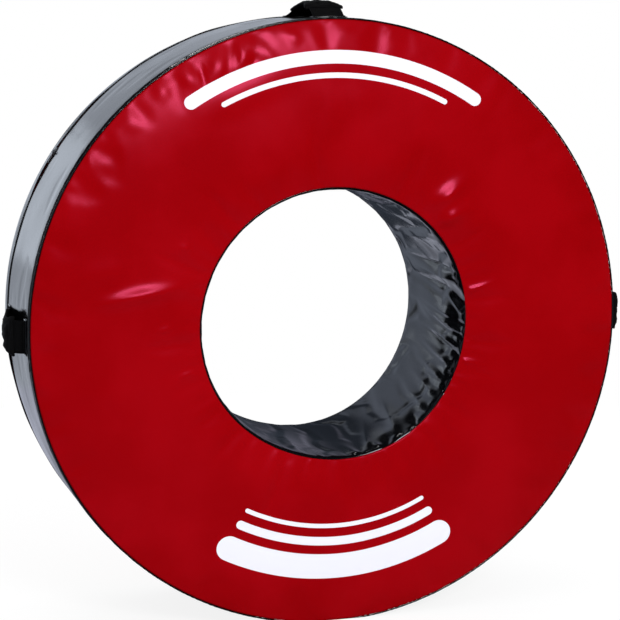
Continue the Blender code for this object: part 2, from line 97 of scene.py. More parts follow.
# The tread's edges at the zip
ZIP_EDGE_ROUND = 0.0016
ZIP_EDGE_DROP_SHARE = 0.25
ZIP_EDGE_BACK_SHARE = 0.6
ZIP_SWELL = 0.0034
ZIP_SWELL_TURN = math.radians(-68.0)
ZIP_SWELL_REACH = math.radians(26.0)
ZIP_WANDER_REACH = 0.016
ZIP_LAP = 0.0012
ZIP_LAP_LIMIT = 0.0042
ZIP_LIFT = 0.0005
ZIP_REAR_LIFT = 0.0022
ZIP_LIFT_LIMIT_SHARE = 2.2

# The slump of the bore
BORE_SHIFT = (0.0028, 0.0008)  # along X and Z
BORE_SWELLS = ((math.radians(58.0), 0.0046), (math.radians(-160.0), -0.0080))
BORE_SWELL_REACH = math.radians(22.0)
SAG_REACH = 0.55  # the radius from which the faces follow the bore

# The dent that the handle on the floor makes
DENT_HALF_WIDTH = 0.075
DENT_EASE = 0.028

# Rows of mesh across each skin, and steps round the ring
FACE_RUNS = 36
FRONT_FACE_STEPS = 320
REAR_FACE_STEPS = 280
TREAD_RUNS = 25
REAR_TREAD_RUNS = 7
TREAD_STEPS = 480
SLEEVE_RUNS = 38
SLEEVE_STEPS = 340
LIP_STEPS = 4
BEAD_SIDES = 8
BEAD_STEPS = 1500
FOAM_STEPS = 128
FLOOR_STEPS = 96
MERGE_DISTANCE = 1e-6

# Points that the cloth keeps in place: near the faces' seams, the sleeve's seams, the
# tread's shoulder, its zip edge and its straps, and all of the tread's foot
FACE_SEAM_HELD = 0.001
SLEEVE_SEAM_HELD = 0.004
SHOULDER_HELD = 0.004
ZIP_EDGE_HELD = 0.008
STRAP_SIDE_HELD = 0.012
FOOT_HELD_FROM = math.radians(164.0)

# Handles
STRAP_WIDTH = 0.072
STRAP = 0.0022
PATCH = 0.0015
PATCH_MARGIN = 0.004
PATCH_REACH = 0.012
HANDLE_GAP = 0.0003
FRONT_FOOT = 0.012
REAR_FOOT = 0.020
FOOT_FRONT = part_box("top_strap")[0].y
FOOT_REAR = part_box("top_strap")[1].y
FRONT_RISE = FOOT_FRONT + FRONT_FOOT
REAR_RISE = FOOT_REAR - REAR_FOOT
FRONT_PATCH = (FOOT_FRONT - PATCH_MARGIN, FRONT_RISE + PATCH_REACH)
REAR_PATCH = (REAR_RISE - PATCH_REACH, FOOT_REAR + PATCH_MARGIN)
STRAP_REST = 2 * HANDLE_GAP + PATCH + STRAP / 2
PRESSED_THICKNESS = 2 * (PATCH + HANDLE_GAP) + STRAP
ARCH_START_SHARE = 0.08  # of a strap's whole run
ARCH_END_SHARE = 0.90
ARCH_SLUMP_SHARE = 0.7  # how far an arch's rear half has sunk
ARCH_SLUMP_START_SHARE = 0.45
ARCH_POWER = 1.25
ARCH_STEP_SHARE = 0.01
STRAP_RUNS = (12, 90)
PATCH_RUNS = (16, 6)

# Grips
GRIP_WIDTH = 0.088
GRIP_WAIST_SHARE = 0.24  # how much narrower a standing grip is at its middle
GRIP_THICKNESS = 0.0135
GRIP_START_SHARE = 0.24  # of the arch
GRIP_END_SHARE = 0.76
GRIP_EDGE_POWER = 0.55  # below 1 makes its two sides flatter
GRIP_SUBDIVISIONS = 5
GRIP_CREASES = 9
CREASE_PLACE_SHARES = (-0.9, 0.9)
CREASE_REACH_SHARES = (0.02, 0.06)
CREASE_DEPTH_SHARE = 0.22
CRUMPLE_SCALE = (2.6, 2.6, 1.2)
CRUMPLE_SHIFT = 50.0
CRUMPLE_EDGE_SHARE = 0.0224
CRUMPLE_EDGE_SCALE = 1.7
CRUMPLE_COARSE = 0.00256
CRUMPLE_FINE = 0.00144
CRUMPLE_FINE_SCALE = 2.7

# Stitches
STITCH = 0.0034
STITCH_PITCH = 0.0045
STITCH_INSET = 0.002
STITCH_BOX_INSET = 0.006
THREAD_RADIUS = 0.00035
THREAD_LIFT = 0.0001
THREAD_SIDES = 6

# Each standing handle's turn from the top, its arch's rise and its lean
Arch = namedtuple("Arch", "turn rise lean_share")
ARCHES = {
    "left": Arch(math.radians(-90.0), 0.0305, 0.6),
    "top": Arch(0.0, 0.0294, 0.74),
    "right": Arch(math.radians(90.0), 0.0305, 0.35),
}
PRESSED = Arch(math.pi, 0.0, 0.6)

# A ridge in the vinyl: its two ends, its half width at each, its height, and how far
# along it is highest
Ridge = namedtuple("Ridge", "start end first_width last_width height peak_share")

# Folds of the front face, each from one place to another, given as degrees clockwise
# from the top and a distance from the middle
Fold = namedtuple("Fold", "first last width height")
RIM_FOLDS = (
    Fold((-31.6, 0.700), (-29.3, 0.620), 0.019, 0.0032),
    Fold((-28.2, 0.605), (-21.6, 0.694), 0.018, 0.0040),
    Fold((-22.9, 0.610), (-16.4, 0.696), 0.020, 0.0042),
    Fold((-17.2, 0.700), (-13.3, 0.600), 0.018, 0.0038),
    Fold((-10.2, 0.694), (-7.2, 0.640), 0.014, 0.0026),
    Fold((-4.8, 0.700), (-2.2, 0.590), 0.013, 0.0008),
    Fold((-37.5, 0.698), (-36.0, 0.640), 0.018, 0.0018),
    Fold((-43.5, 0.698), (-45.0, 0.630), 0.020, 0.0014),
    Fold((-50.0, 0.696), (-50.5, 0.640), 0.018, 0.0010),
    Fold((-27.0, 0.690), (-29.3, 0.606), 0.005, -0.0022),
    Fold((-19.5, 0.676), (-21.5, 0.625), 0.005, -0.0016),
    Fold((-16.0, 0.650), (-19.5, 0.612), 0.005, -0.0012),
    Fold((-37.0, 0.594), (-5.0, 0.594), 0.030, 0.0028),
)
FACE_FOLDS = (
    Fold((-83.4, 0.590), (-71.0, 0.340), 0.017, 0.0086),
    Fold((-79.0, 0.640), (-70.0, 0.480), 0.030, 0.0030),
    Fold((-62.2, 0.420), (-60.6, 0.380), 0.010, 0.0022),
    Fold((-89.8, 0.430), (-86.9, 0.370), 0.007, 0.0022),
    Fold((-105.0, 0.390), (-105.0, 0.330), 0.006, 0.0018),
)
WEDGE_FOLDS = (
    Fold((40.8, 0.326), (44.2, 0.490), 0.022, 0.0108),
    Fold((46.8, 0.314), (51.2, 0.442), 0.023, 0.0136),
)
BORE_FOLDS = (
    Fold((78.0, 0.322), (77.0, 0.410), 0.006, 0.0028),
    Fold((99.5, 0.322), (98.5, 0.345), 0.004, 0.0020),
    Fold((107.0, 0.324), (106.0, 0.370), 0.005, 0.0022),
)

# Folds of the bore's sleeve, each from one place to another, given as degrees clockwise
# from the top and y, where a height below nothing is a pocket or crease
SLEEVE_FOLDS = (
    Fold((20.0, -0.195), (27.0, 0.150), 0.012, 0.0045),
    Fold((31.0, -0.195), (38.0, 0.120), 0.007, -0.0065),
    Fold((38.0, -0.195), (43.0, 0.180), 0.014, 0.0060),
    Fold((47.0, -0.195), (55.0, 0.180), 0.0050, -0.0090),
    Fold((51.5, -0.195), (58.0, 0.170), 0.012, 0.0053),
    Fold((60.0, 0.185), (66.0, 0.130), 0.009, -0.0060),
    Fold((69.0, -0.195), (66.5, 0.175), 0.0052, -0.0098),
    Fold((73.5, -0.195), (71.5, 0.160), 0.017, 0.0090),
    Fold((78.5, -0.130), (75.5, 0.170), 0.0055, -0.0085),
    Fold((83.5, -0.215), (80.0, -0.095), 0.026, -0.0110),
    Fold((88.0, -0.190), (79.5, -0.085), 0.005, 0.0067),
    Fold((90.5, -0.160), (86.0, 0.150), 0.017, 0.0083),
    Fold((92.5, -0.215), (91.0, -0.125), 0.008, -0.0070),
    Fold((95.8, -0.190), (88.5, 0.120), 0.007, 0.0090),
    Fold((98.0, -0.215), (96.0, -0.130), 0.006, -0.0075),
    Fold((102.0, -0.190), (95.0, 0.170), 0.009, 0.0090),
    Fold((104.5, -0.180), (98.0, 0.110), 0.004, -0.0045),
    Fold((106.5, -0.215), (104.0, -0.135), 0.009, -0.0095),
    Fold((110.5, -0.190), (103.5, 0.120), 0.008, 0.0083),
    Fold((114.5, -0.215), (113.0, -0.150), 0.006, -0.0070),
    Fold((118.0, -0.190), (110.5, 0.130), 0.009, 0.0083),
    Fold((121.5, -0.215), (120.0, -0.160), 0.006, -0.0075),
    Fold((125.5, -0.190), (117.0, 0.120), 0.011, 0.0067),
    Fold((133.0, -0.195), (126.0, 0.080), 0.010, 0.0060),
    Fold((142.5, -0.215), (135.0, -0.095), 0.015, -0.0110),
    Fold((149.0, -0.195), (137.0, 0.120), 0.012, 0.0067),
    Fold((156.0, -0.210), (152.0, -0.120), 0.011, -0.0090),
    Fold((164.0, -0.195), (150.0, 0.080), 0.016, 0.0060),
    Fold((-178.0, -0.195), (168.0, 0.090), 0.020, 0.0053),
    Fold((-163.0, -0.195), (-170.0, 0.120), 0.018, 0.0045),
)

# White print on the front face, as stripes along arcs: the middle's turn from the top
# and the half length, in degrees, the distance from the ring's middle, the half width
Stripe = namedtuple("Stripe", "turn half_turn radius half_width")
PRINT = (
    Stripe(0.0, 33.0, 0.612, 0.0150),
    Stripe(0.0, 27.0, 0.571, 0.0060),
    Stripe(180.0, 27.0, 0.560, 0.0290),
    Stripe(180.0, 27.0, 0.500, 0.0100),
    Stripe(180.0, 27.0, 0.464, 0.0050),
)
PRINT_EDGE = 0.0004
PRINT_GRAIN_RISE = 0.8

# Zip
TOOTH_PITCH = 0.0026
TOOTH = (0.0014, 0.0036, 0.0014)  # along the chain, across it, out of it
TOOTH_OFFSET = 0.0006  # each side of the chain's middle
TOOTH_FOOT_SHARE = 1.15
TOOTH_BEVEL = 0.0003
CHAIN_START = math.radians(-61.875)
CHAIN_END = math.radians(129.375)

# Where along it each kind of fold is highest, and how steeply its flanks fall off
CRISPNESS = 1.7
RIM_PEAK_SHARE = 0.5
RIM_CRISPNESS = 2.6
FACE_PEAK_SHARE = 0.5
WEDGE_PEAK_SHARE = 0.4
BORE_PEAK_SHARE = 0.15
SLEEVE_PEAK_SHARE = 0.22
SLEEVE_CRISPNESS = 1.25
SLEEVE_WIDTH_SHARES = (0.75, 1.7)  # of a fold's width, at its first end and its last

# Gathers in the sleeve: their length, height, half widths at both ends and peak
Gather = namedtuple("Gather", "reach height widths peak_share")
LONG_GATHER = Gather((0.05, 0.20), (0.0008, 0.0026), (0.006, 0.022), 0.16)
SHORT_GATHER = Gather((0.02, 0.05), (0.0010, 0.0040), (0.0035, 0.009), 0.3)
REAR_GATHER = Gather((0.05, 0.18), (0.0004, 0.0012), (0.006, 0.020), 0.2)
GATHER_SLANT = (-0.05, 0.03)
SHORT_SLANT_SHARE = 0.2
REAR_GATHER_SLANT = (-0.03, 0.03)
GATHER_SETBACK = (0.000, 0.006)
GATHER_PITCH = (0.018, 0.062)
REAR_GATHER_PITCH = (0.03, 0.09)
GATHER_SEED = 11
GATHERED = (math.radians(50.0), math.radians(178.0))  # the span of strong gathers
SMOOTH_SEAM_SHARE = 0.25

# Puckers along the faces' seams, and swells across the faces, with turns in degrees
RIM_PUCKER_REACH = (0.012, 0.06)
RIM_PUCKER_HEIGHT = (0.0002, 0.0011)
BORE_PUCKER_REACH = (0.012, 0.05)
BORE_PUCKER_HEIGHT = (0.0002, 0.0012)
PUCKER_START = 0.004
PUCKER_TURN = 3.0
PUCKER_WIDTH = (0.006, 0.014)
PUCKER_WIDTH_SHARES = (0.6, 1.5)
PUCKER_PEAK_SHARE = 0.25
PUCKER_PITCH = (0.016, 0.055)
RADIAN = 57.3  # degrees
SWELL_COUNT = 60
SWELL_START = (0.33, 0.51)
SWELL_END = (0.51, 0.69)
SWELL_TURN = 14.0
SWELL_WIDTH = (0.016, 0.045)
SWELL_END_WIDTH_SHARE = 1.4
SWELL_PEAK_SHARE = 0.5
FRONT_SWELL_HEIGHT = (0.0003, 0.0010)
REAR_SWELL_HEIGHT = (0.0006, 0.0022)

# Irregular waves round the ring: the seed, the least and most waves, and the height
Wave = namedtuple("Wave", "seed counts height")
WAVE_PARTS = 7
WAVE_STRENGTHS = (0.4, 1.0)
WAVE_SUM = 3.0
TREAD_RIPPLE = Wave(5, (3, 22), 0.0012)
SLEEVE_RIPPLE = Wave(8, (9, 34), 0.0009)
RIPPLE_LEAN = 0.9  # radians round the ring for each metre across
BEAD_PINCHES = (Wave(21, (240, 430), 0.16), Wave(22, (40, 110), 0.10))
BEAD_WANDER = Wave(23, (90, 260), 0.0003)
SHOULDER_PUCKERS = (Wave(31, (60, 150), 0.0007), Wave(32, (170, 240), 0.00035))
SHOULDER_PUCKER_START = 0.022
SHOULDER_PUCKER_REACH = 0.030
LAP_WAVE = Wave(41, (6, 44), 0.0012)
LIFT_WAVE = Wave(45, (5, 38), 1.0)

# Cloth
CLOTH_FRAMES = 14
CLOTH_QUALITY = 4
CLOTH_MASS = 0.4
CLOTH_STIFFNESS = 18.0
CLOTH_SHEAR_STIFFNESS = 8.0
CLOTH_BENDING_STIFFNESS = 4.0

# How a skin settles: the most that a point may move, the pressure and the spare cloth
Settling = namedtuple("Settling", "cap pressure spare_share")
FRONT_SETTLING = Settling(0.0022, 1.2, 0.004)
REAR_SETTLING = Settling(0.006, 1.2, 0.004)
TREAD_SETTLING = Settling(0.0005, 0.8, 0.002)
SLEEVE_SETTLING = Settling(0.0016, 1.2, 0.006)

# How full each padded piece is
COVER_FILL_SHARE = 0.95
SLEEVE_FILL_SHARE = 0.9
FOAM_FILL_SHARE = 1.0

# Coated fabrics
Coating = namedtuple("Coating", "colour tint roughness level")
RED = Coating((0.310, 0.0003, 0.0020), (1.0, 0.14, 0.32), 0.22, 0.3)
BLACK = Coating((0.0022, 0.0024, 0.0032), (0.90, 0.95, 1.0), 0.16, 0.5)
SLEEVE_BLACK = BLACK._replace(roughness=0.13)
PIPING_BLACK = BLACK._replace(roughness=0.20)
MOTTLE_SHARES = (0.93, 1.06)  # how much darker and lighter the colour is in places
MOTTLE_ROUGHNESS = (-0.03, 0.04)
PRINT_WHITE = (0.86, 0.89, 1.0, 1.0)

# Woven fabrics: the colour, the threads in radians for each metre, and the roughness
Fabric = namedtuple("Fabric", "colour weave roughness")
FABRICS = {
    "grip_nylon": Fabric((0.0013, 0.0013, 0.0017), 4200.0, 0.75),
    "zip_tape": Fabric((0.0060, 0.0060, 0.0070), 6000.0, 0.80),
    "black_thread": Fabric((0.0080, 0.0080, 0.0090), 9000.0, 0.60),
    "zip_teeth": Fabric((0.0070, 0.0070, 0.0080), 2000.0, 0.42),
}
WEAVE_SHARES = (0.6, 1.5)
WOVEN_SPECULAR = 0.15
WEAVE_HEIGHT_SHARE = 0.3

# The other surfaces
# the webbing's colour in the weave's pits, then on its crests: the darker pits are painted shade
WEBBING_PAINTED_SHADE_COLOURS = ((0.0008, 0.0008, 0.0010, 1.0), (0.0032, 0.0032, 0.0038, 1.0))
WEBBING_ROUGHNESS = 0.72
WEBBING_SPECULAR = 0.1
# the foam's colour in the middle of each cell, then at its edge: the darker middles are painted shade
FOAM_PAINTED_SHADE_COLOURS = ((0.10, 0.10, 0.11, 1.0), (0.30, 0.31, 0.32, 1.0))
FOAM_ROUGHNESS = 0.95
METAL_COLOURS = ((0.030, 0.030, 0.034, 1.0), (0.10, 0.10, 0.11, 1.0))  # dull, then rubbed
METAL_ROUGHNESS = (0.45, 0.3)

# Textures: cells in a metre, clouds in a metre with their detail, and threads in a strap
PEBBLE_SCALE = 640.0
CELL_SCALE = 500.0
Clouds = namedtuple("Clouds", "scale detail")
FINE_GRAIN = Clouds(1500.0, 2.0)
MOTTLE = Clouds(4.5, 5.0)
LINT = Clouds(300.0, 3.0)
RUBBED = Clouds(260.0, 4.0)
FINE_GRAIN_SHARE = 0.4
MOTTLE_RANGE = (0.35, 0.65)
RUB_RANGE = (0.4, 0.7)
RIBS_ALONG = 150
CORDS_ACROSS = 30

# Bumps: the depth and the strength
VINYL_BUMP = (0.00010, 0.18)
WEBBING_BUMP = (0.0005, 0.7)
WOVEN_BUMP = (0.0004, 0.6)
FOAM_BUMP = (0.001, 0.8)
METAL_BUMP = (0.0002, 0.3)

# Studio: the colours of the backdrop, the sky and the floor
NEAR_BLACK = (0.004, 0.004, 0.005, 1.0)
DARK_STUDIO = (0.005, 0.005, 0.006, 1.0)
BACK_GREY = (0.59, 0.64, 0.73, 1.0)
SIDE_GREY = (0.30, 0.32, 0.37, 1.0)
SKY_LOW = (0.18, 0.18, 0.19, 1.0)
SKY_HIGH = (0.96, 0.96, 0.97, 1.0)
SEEN_WHITE = (1.0, 1.0, 1.0, 1.0)
BACK_RANGE = (0.84, 0.94)
LEFT_RANGE = (-0.52, -0.78)
RIGHT_RANGE = (0.80, 0.95)
SKY_RANGE = (0.0, 0.6)
FLOOR_RADIUS = 2.6
FLOOR_DROP = 0.0005
FLOOR_COLOUR = (0.75, 0.75, 0.75, 1.0)
FLOOR_ROUGHNESS = 0.9
FLOOR_WHITE = (1.10, 1.10, 1.10, 1.0)
FLOOR_WHITE_SHARE = 0.78
FLOOR_GREY = (0.62, 0.65, 0.78, 1.0)
FLOOR_RANGE = (-0.2, 2.0)

# Cards seen only in reflections: the place, the size, and the colours from left to right
Card = namedtuple("Card", "place width height left right far")
CARDS = {
    "grey_card": Card((0.45, 2.2, 0.70), 2.1, 1.4, (0.34, 0.38, 0.47, 1.0),
                      (0.045, 0.055, 0.075, 1.0), (0.24, 0.24, 0.31, 1.0)),
    "black_card": Card((-0.34, 0.6, 0.78), 0.5, 0.86, NEAR_BLACK, NEAR_BLACK, NEAR_BLACK),
}
CARD_FADE_SHARES = (-0.28, -0.05)
CARD_FAR_FADE_SHARES = (0.06, 0.24)

# Lamps: the place, the point that each faces, the size, the radiance and the tint
Lamp = namedtuple("Lamp", "place aim width height radiance tint")
PLAIN = (1.0, 1.0, 1.0)
BLUISH = (0.90, 0.99, 1.10)
LAMPS = {
    "front_softbox": Lamp((0.15, -3.60, 2.15), (-0.25, -0.20, 1.30), 1.15, 0.90, 24.0, PLAIN),
    "left_softbox": Lamp((-1.2, 3.0, 1.2), (-0.7, 0.0, 0.7), 0.9, 1.0, 0.50, BLUISH),
    "strip_softbox": Lamp((-1.9, 2.35, 1.35), (-0.65, -0.17, 0.9), 0.07, 0.8, 6.0, BLUISH),
    "top_softbox": Lamp((-0.2, 2.2, 3.27), (-0.2, -0.19, 1.35), 1.5, 0.07, 14.0, PLAIN),
}


def smooth(share):
    """Eases a share from 0 to 1, and holds it there."""
    share = np.clip(share, 0.0, 1.0)
    return share * share * (3.0 - 2.0 * share)


# Meshes


def add_piece(name, bm, material):
    """A piece of the object from a bmesh, shaded smooth."""
    mesh = bpy.data.meshes.new(name)
    bm.to_mesh(mesh)
    bm.free()
    mesh.shade_smooth()
    mesh.materials.append(material)
    piece = bpy.data.objects.new(name, mesh)
    bpy.context.scene.collection.objects.link(piece)
    return piece


def turned(profile, steps, closed=False):
    """A profile of (radius, y) points spun all the way round the ring's axis."""
    bm = bmesh.new()
    verts = [bm.verts.new((0.0, y, AXIS_HEIGHT + radius)) for radius, y in profile]
    later = verts[1:] + verts[:1] if closed else verts[1:]
    edges = [bm.edges.new(pair) for pair in zip(verts, later)]
    bmesh.ops.spin(
        bm,
        geom=verts + edges,
        cent=AXIS,
        axis=(0.0, 1.0, 0.0),
        dvec=(0.0, 0.0, 0.0),
        angle=math.tau,
        steps=steps,
        use_merge=True,
        use_duplicate=False,
    )
    bmesh.ops.remove_doubles(bm, verts=bm.verts, dist=MERGE_DISTANCE)
    bmesh.ops.recalc_face_normals(bm, faces=bm.faces)
    return bm


def repeat(bm, shape, steps, **motion):
    """Copies points with their edges and faces, again and again along a motion."""
    edges = {edge for vert in shape for edge in vert.link_edges}
    faces = {face for vert in shape for face in vert.link_faces}
    bmesh.ops.spin(
        bm,
        geom=shape + list(edges) + list(faces),
        steps=steps,
        use_merge=False,
        use_duplicate=True,
        **motion,
    )


def from_axis(place):
    """The way out from the ring's middle at a place."""
    return place - AXIS


def to_axis(place):
    """The way in to the ring's middle from a place."""
    return AXIS - place


def face_outwards(bm, outward):
    """Makes an open skin's faces look the way that outward gives for a place."""
    agreement = sum(face.normal.dot(outward(face.calc_center_median())) for face in bm.faces)
    if agreement < 0.0:
        bmesh.ops.reverse_faces(bm, faces=bm.faces)


def turned_skin(name, profile, steps, outward, material):
    """An open skin that is turned round the ring's axis."""
    bm = turned(profile, steps)
    face_outwards(bm, outward)
    return add_piece(name, bm, material)


def places(mesh):
    """A mesh's points as an array."""
    co = np.empty(len(mesh.vertices) * 3)
    mesh.vertices.foreach_get("co", co)
    return co.reshape(-1, 3)


def put(mesh, co):
    """Moves a mesh's points to an array's places."""
    mesh.vertices.foreach_set("co", co.ravel())
    mesh.update()


def polar(co):
    """Each point's angle clockwise from the top, seen from the front, and its radius."""
    x = co[:, 0]
    z = co[:, 2] - AXIS_HEIGHT
    return np.arctan2(x, z), np.hypot(x, z)


def push_out(piece, co, angle, heights):
    """Moves each point straight out from the ring's axis."""
    co[:, 0] += np.sin(angle) * heights
    co[:, 2] += np.cos(angle) * heights
    put(piece.data, co)


def on_face(degrees, radius):
    """A place on a face, as (x, z) from the ring's middle."""
    angle = math.radians(degrees)
    return radius * math.sin(angle), radius * math.cos(angle)


def ridge_heights(flat, ridges, lap=math.inf, crispness=CRISPNESS):
    """How high each point of a flattened skin is lifted by all its ridges.

    The lap is the length after which the skin meets itself again.
    """
    heights = np.zeros(len(flat))
    for ridge in ridges:
        start = np.array(ridge.start)
        run = np.array(ridge.end) - start
        offset = flat - start
        if lap < math.inf:
            offset[:, 0] -= lap * np.round(offset[:, 0] / lap)
        along = offset @ run / (run @ run)
        inside = np.flatnonzero((along > 0.0) & (along < 1.0))
        along = along[inside]
        near = offset[inside]
        side = (near[:, 0] * run[1] - near[:, 1] * run[0]) / math.hypot(*run)
        width = ridge.first_width + (ridge.last_width - ridge.first_width) * along
        rise = smooth(along / ridge.peak_share)
        fall = smooth((1.0 - along) / (1.0 - ridge.peak_share))
        heights[inside] += ridge.height * rise * fall * np.exp(-np.abs(side / width) ** crispness)
    return heights


def refine(piece):
    """Halves the size of a skin's faces."""
    finer = piece.modifiers.new("finer", "SUBSURF")
    finer.levels = 1
    finer.render_levels = 1
    depsgraph = bpy.context.evaluated_depsgraph_get()
    coarse = piece.data
    piece.data = bpy.data.meshes.new_from_object(piece.evaluated_get(depsgraph))
    piece.data.name = piece.name
    piece.modifiers.remove(finer)
    bpy.data.meshes.remove(coarse)


def thicken(piece, thickness):
    """Gives a skin its wall, on its inner side."""
    wall = piece.modifiers.new("wall", "SOLIDIFY")
    wall.thickness = thickness
    wall.offset = -1.0
    wall.use_even_offset = True


# Cloth


def hold(piece, held):
    """Marks the points that stay where they are sewn or pressed."""
    group = piece.vertex_groups.new(name="held")
    group.add([int(k) for k in np.flatnonzero(held)], 1.0, "REPLACE")


def make_cloth(piece, settling):
    """A cloth under pressure from inside, held where the piece is sewn or pressed."""
    cloth = piece.modifiers.new("cloth", "CLOTH")
    cloth.settings.quality = CLOTH_QUALITY
    cloth.settings.mass = CLOTH_MASS
    cloth.settings.tension_stiffness = CLOTH_STIFFNESS
    cloth.settings.compression_stiffness = CLOTH_STIFFNESS
    cloth.settings.shear_stiffness = CLOTH_SHEAR_STIFFNESS
    cloth.settings.bending_stiffness = CLOTH_BENDING_STIFFNESS
    cloth.settings.vertex_group_mass = "held"
    cloth.settings.use_pressure = True
    cloth.settings.uniform_pressure_force = settling.pressure
    cloth.settings.shrink_min = -settling.spare_share
    cloth.settings.effector_weights.gravity = 0.0
    cloth.point_cache.frame_end = CLOTH_FRAMES


def settle(skins):
    """Lets the skins find their wrinkles as cloth, each point within its skin's cap."""
    for piece, settling in skins:
        make_cloth(piece, settling)
    for step in range(1, CLOTH_FRAMES + 1):
        bpy.context.scene.frame_set(step)
    depsgraph = bpy.context.evaluated_depsgraph_get()
    for piece, settling in skins:
        start = places(piece.data)
        moved = places(piece.evaluated_get(depsgraph).data) - start
        length = np.linalg.norm(moved, axis=1)
        share = settling.cap / np.maximum(length, settling.cap)
        put(piece.data, start + moved * share[:, None])
        piece.modifiers.remove(piece.modifiers["cloth"])
    bpy.context.scene.frame_set(1)
    for piece, _ in skins:
        piece.vertex_groups.clear()
        refine(piece)


# The cover's skins


def crown(share):
    """How far a face bulges, at a share of the way from bore seam to rim seam."""
    return FACE_CROWN * (1 - abs(2 * share - 1) ** CROWN_POWER)


def face_profile(side, rim_radius, runs):
    """A crowned face, from bore seam to rim seam, with closer rows beside the seams."""
    reach = rim_radius - BORE_SEAM_RADIUS
    points = []
    for k in range(runs + 1):
        share = k / runs
        share -= SEAM_ROWS_SHARE * math.sin(math.tau * share)
        points.append((BORE_SEAM_RADIUS + reach * share, side * (SEAM_HALF_WIDTH + crown(share))))
    return points


def spread(low, high, runs):
    """Evenly spaced values, with both ends."""
    return [low + (high - low) * k / runs for k in range(runs + 1)]


def tread_profile():
    """The wide tread band, from beside the front piping to the zip."""
    shoulder = [
        (TREAD_RADIUS - SHOULDER_DROP * (1 - share), -TREAD_EDGE + SHOULDER_WIDTH * share)
        for share in SHOULDER_SHARES
    ]
    crease = -TREAD_FLAT + CREASE_HALF_WIDTH
    flat = [(TREAD_RADIUS, crease)]
    end = ZIP_FRONT_EDGE - 2 * ZIP_EDGE_ROUND
    for y in spread(crease + 2 * CREASE_HALF_WIDTH, end, TREAD_RUNS):
        flat.append((TREAD_RADIUS, y))
    edge = [
        (TREAD_RADIUS - ZIP_EDGE_ROUND * ZIP_EDGE_DROP_SHARE,
         ZIP_FRONT_EDGE - ZIP_EDGE_ROUND * ZIP_EDGE_BACK_SHARE),
        (TREAD_RADIUS - ZIP_EDGE_ROUND, ZIP_FRONT_EDGE),
    ]
    return shoulder + flat + edge


def rear_tread_profile():
    """The narrow band behind the zip, which falls off towards the rear rim."""
    edge = [
        (TREAD_RADIUS - ZIP_EDGE_ROUND, ZIP_REAR_EDGE),
        (TREAD_RADIUS - ZIP_EDGE_ROUND * ZIP_EDGE_DROP_SHARE,
         ZIP_REAR_EDGE + ZIP_EDGE_ROUND * ZIP_EDGE_BACK_SHARE),
    ]
    start = ZIP_REAR_EDGE + 2 * ZIP_EDGE_ROUND
    flat = []
    for y in spread(start, TREAD_EDGE, REAR_TREAD_RUNS):
        share = (y - start) / (TREAD_EDGE - start)
        drop = (SHOULDER_DROP + REAR_RIM_DRAW) * share ** REAR_FALL_POWER
        flat.append((TREAD_RADIUS - drop, y))
    return edge + flat


def sleeve_profile():
    """The bore's sleeve, which turns out at both ends to meet the faces."""
    straight = SEAM_HALF_WIDTH - BORE_EDGE_ROUND
    lip = []
    for k in range(LIP_STEPS):
        angle = math.pi / 2 * (1 - k / LIP_STEPS)
        rise = (BORE_EDGE_ROUND - PIPING_GAP) * (1 - math.cos(angle))
        lip.append((BORE_RADIUS + rise, -straight - BORE_EDGE_ROUND * math.sin(angle)))
    rear_lip = [(radius, -y) for radius, y in reversed(lip)]
    return lip + [(BORE_RADIUS, y) for y in spread(-straight, straight, SLEEVE_RUNS)] + rear_lip


def on_sleeve(degrees, y):
    """A place on the flattened sleeve, as (length round the bore, y)."""
    return math.radians(degrees) * BORE_RADIUS, y


def sleeve_folds():
    """The sleeve's large folds, which are narrowest at their first ends."""
    ridges = []
    for fold in SLEEVE_FOLDS:
        widths = (fold.width * share for share in SLEEVE_WIDTH_SHARES)
        start, end = on_sleeve(*fold.first), on_sleeve(*fold.last)
        ridges.append(Ridge(start, end, *widths, fold.height, SLEEVE_PEAK_SHARE))
    return ridges


def gathers():
    """Small gathers, sharp beside the sleeve's front seam, and wide where they run out."""
    rng = random.Random(GATHER_SEED)
    ridges = []
    place = 0.0
    while place < math.tau * BORE_RADIUS:
        gathered = GATHERED[0] < place / BORE_RADIUS < GATHERED[1]
        strength = 1.0 if gathered else SMOOTH_SEAM_SHARE
        slant = rng.uniform(*GATHER_SLANT)
        reach = rng.uniform(*LONG_GATHER.reach)
        front = -SEAM_HALF_WIDTH + rng.uniform(*GATHER_SETBACK)
        height = strength * rng.uniform(*LONG_GATHER.height)
        end = (place + slant, front + reach)
        ridges.append(Ridge((place, front), end, *LONG_GATHER.widths, height, LONG_GATHER.peak_share))
        end = (place + slant * SHORT_SLANT_SHARE, front + rng.uniform(*SHORT_GATHER.reach))
        height = strength * rng.uniform(*SHORT_GATHER.height)
        ridges.append(Ridge((place, front), end, *SHORT_GATHER.widths, height, SHORT_GATHER.peak_share))
        place += rng.uniform(*GATHER_PITCH)
    return ridges


def rear_gathers():
    """Weaker gathers beside the rear seam."""
    rng = random.Random(GATHER_SEED + 1)
    ridges = []
    place = 0.0
    while place < math.tau * BORE_RADIUS:
        slant = rng.uniform(*REAR_GATHER_SLANT)
        end = (place + slant, SEAM_HALF_WIDTH - rng.uniform(*REAR_GATHER.reach))
        height = rng.uniform(*REAR_GATHER.height)
        start = (place, SEAM_HALF_WIDTH)
        ridges.append(Ridge(start, end, *REAR_GATHER.widths, height, REAR_GATHER.peak_share))
        place += rng.uniform(*REAR_GATHER_PITCH)
    return ridges


def face_folds(folds, peak_share):
    """Folds of a face as ridges that are as wide at both ends."""
    ridges = []
    for fold in folds:
        start, end = on_face(*fold.first), on_face(*fold.last)
        ridges.append(Ridge(start, end, fold.width, fold.width, fold.height, peak_share))
    return ridges


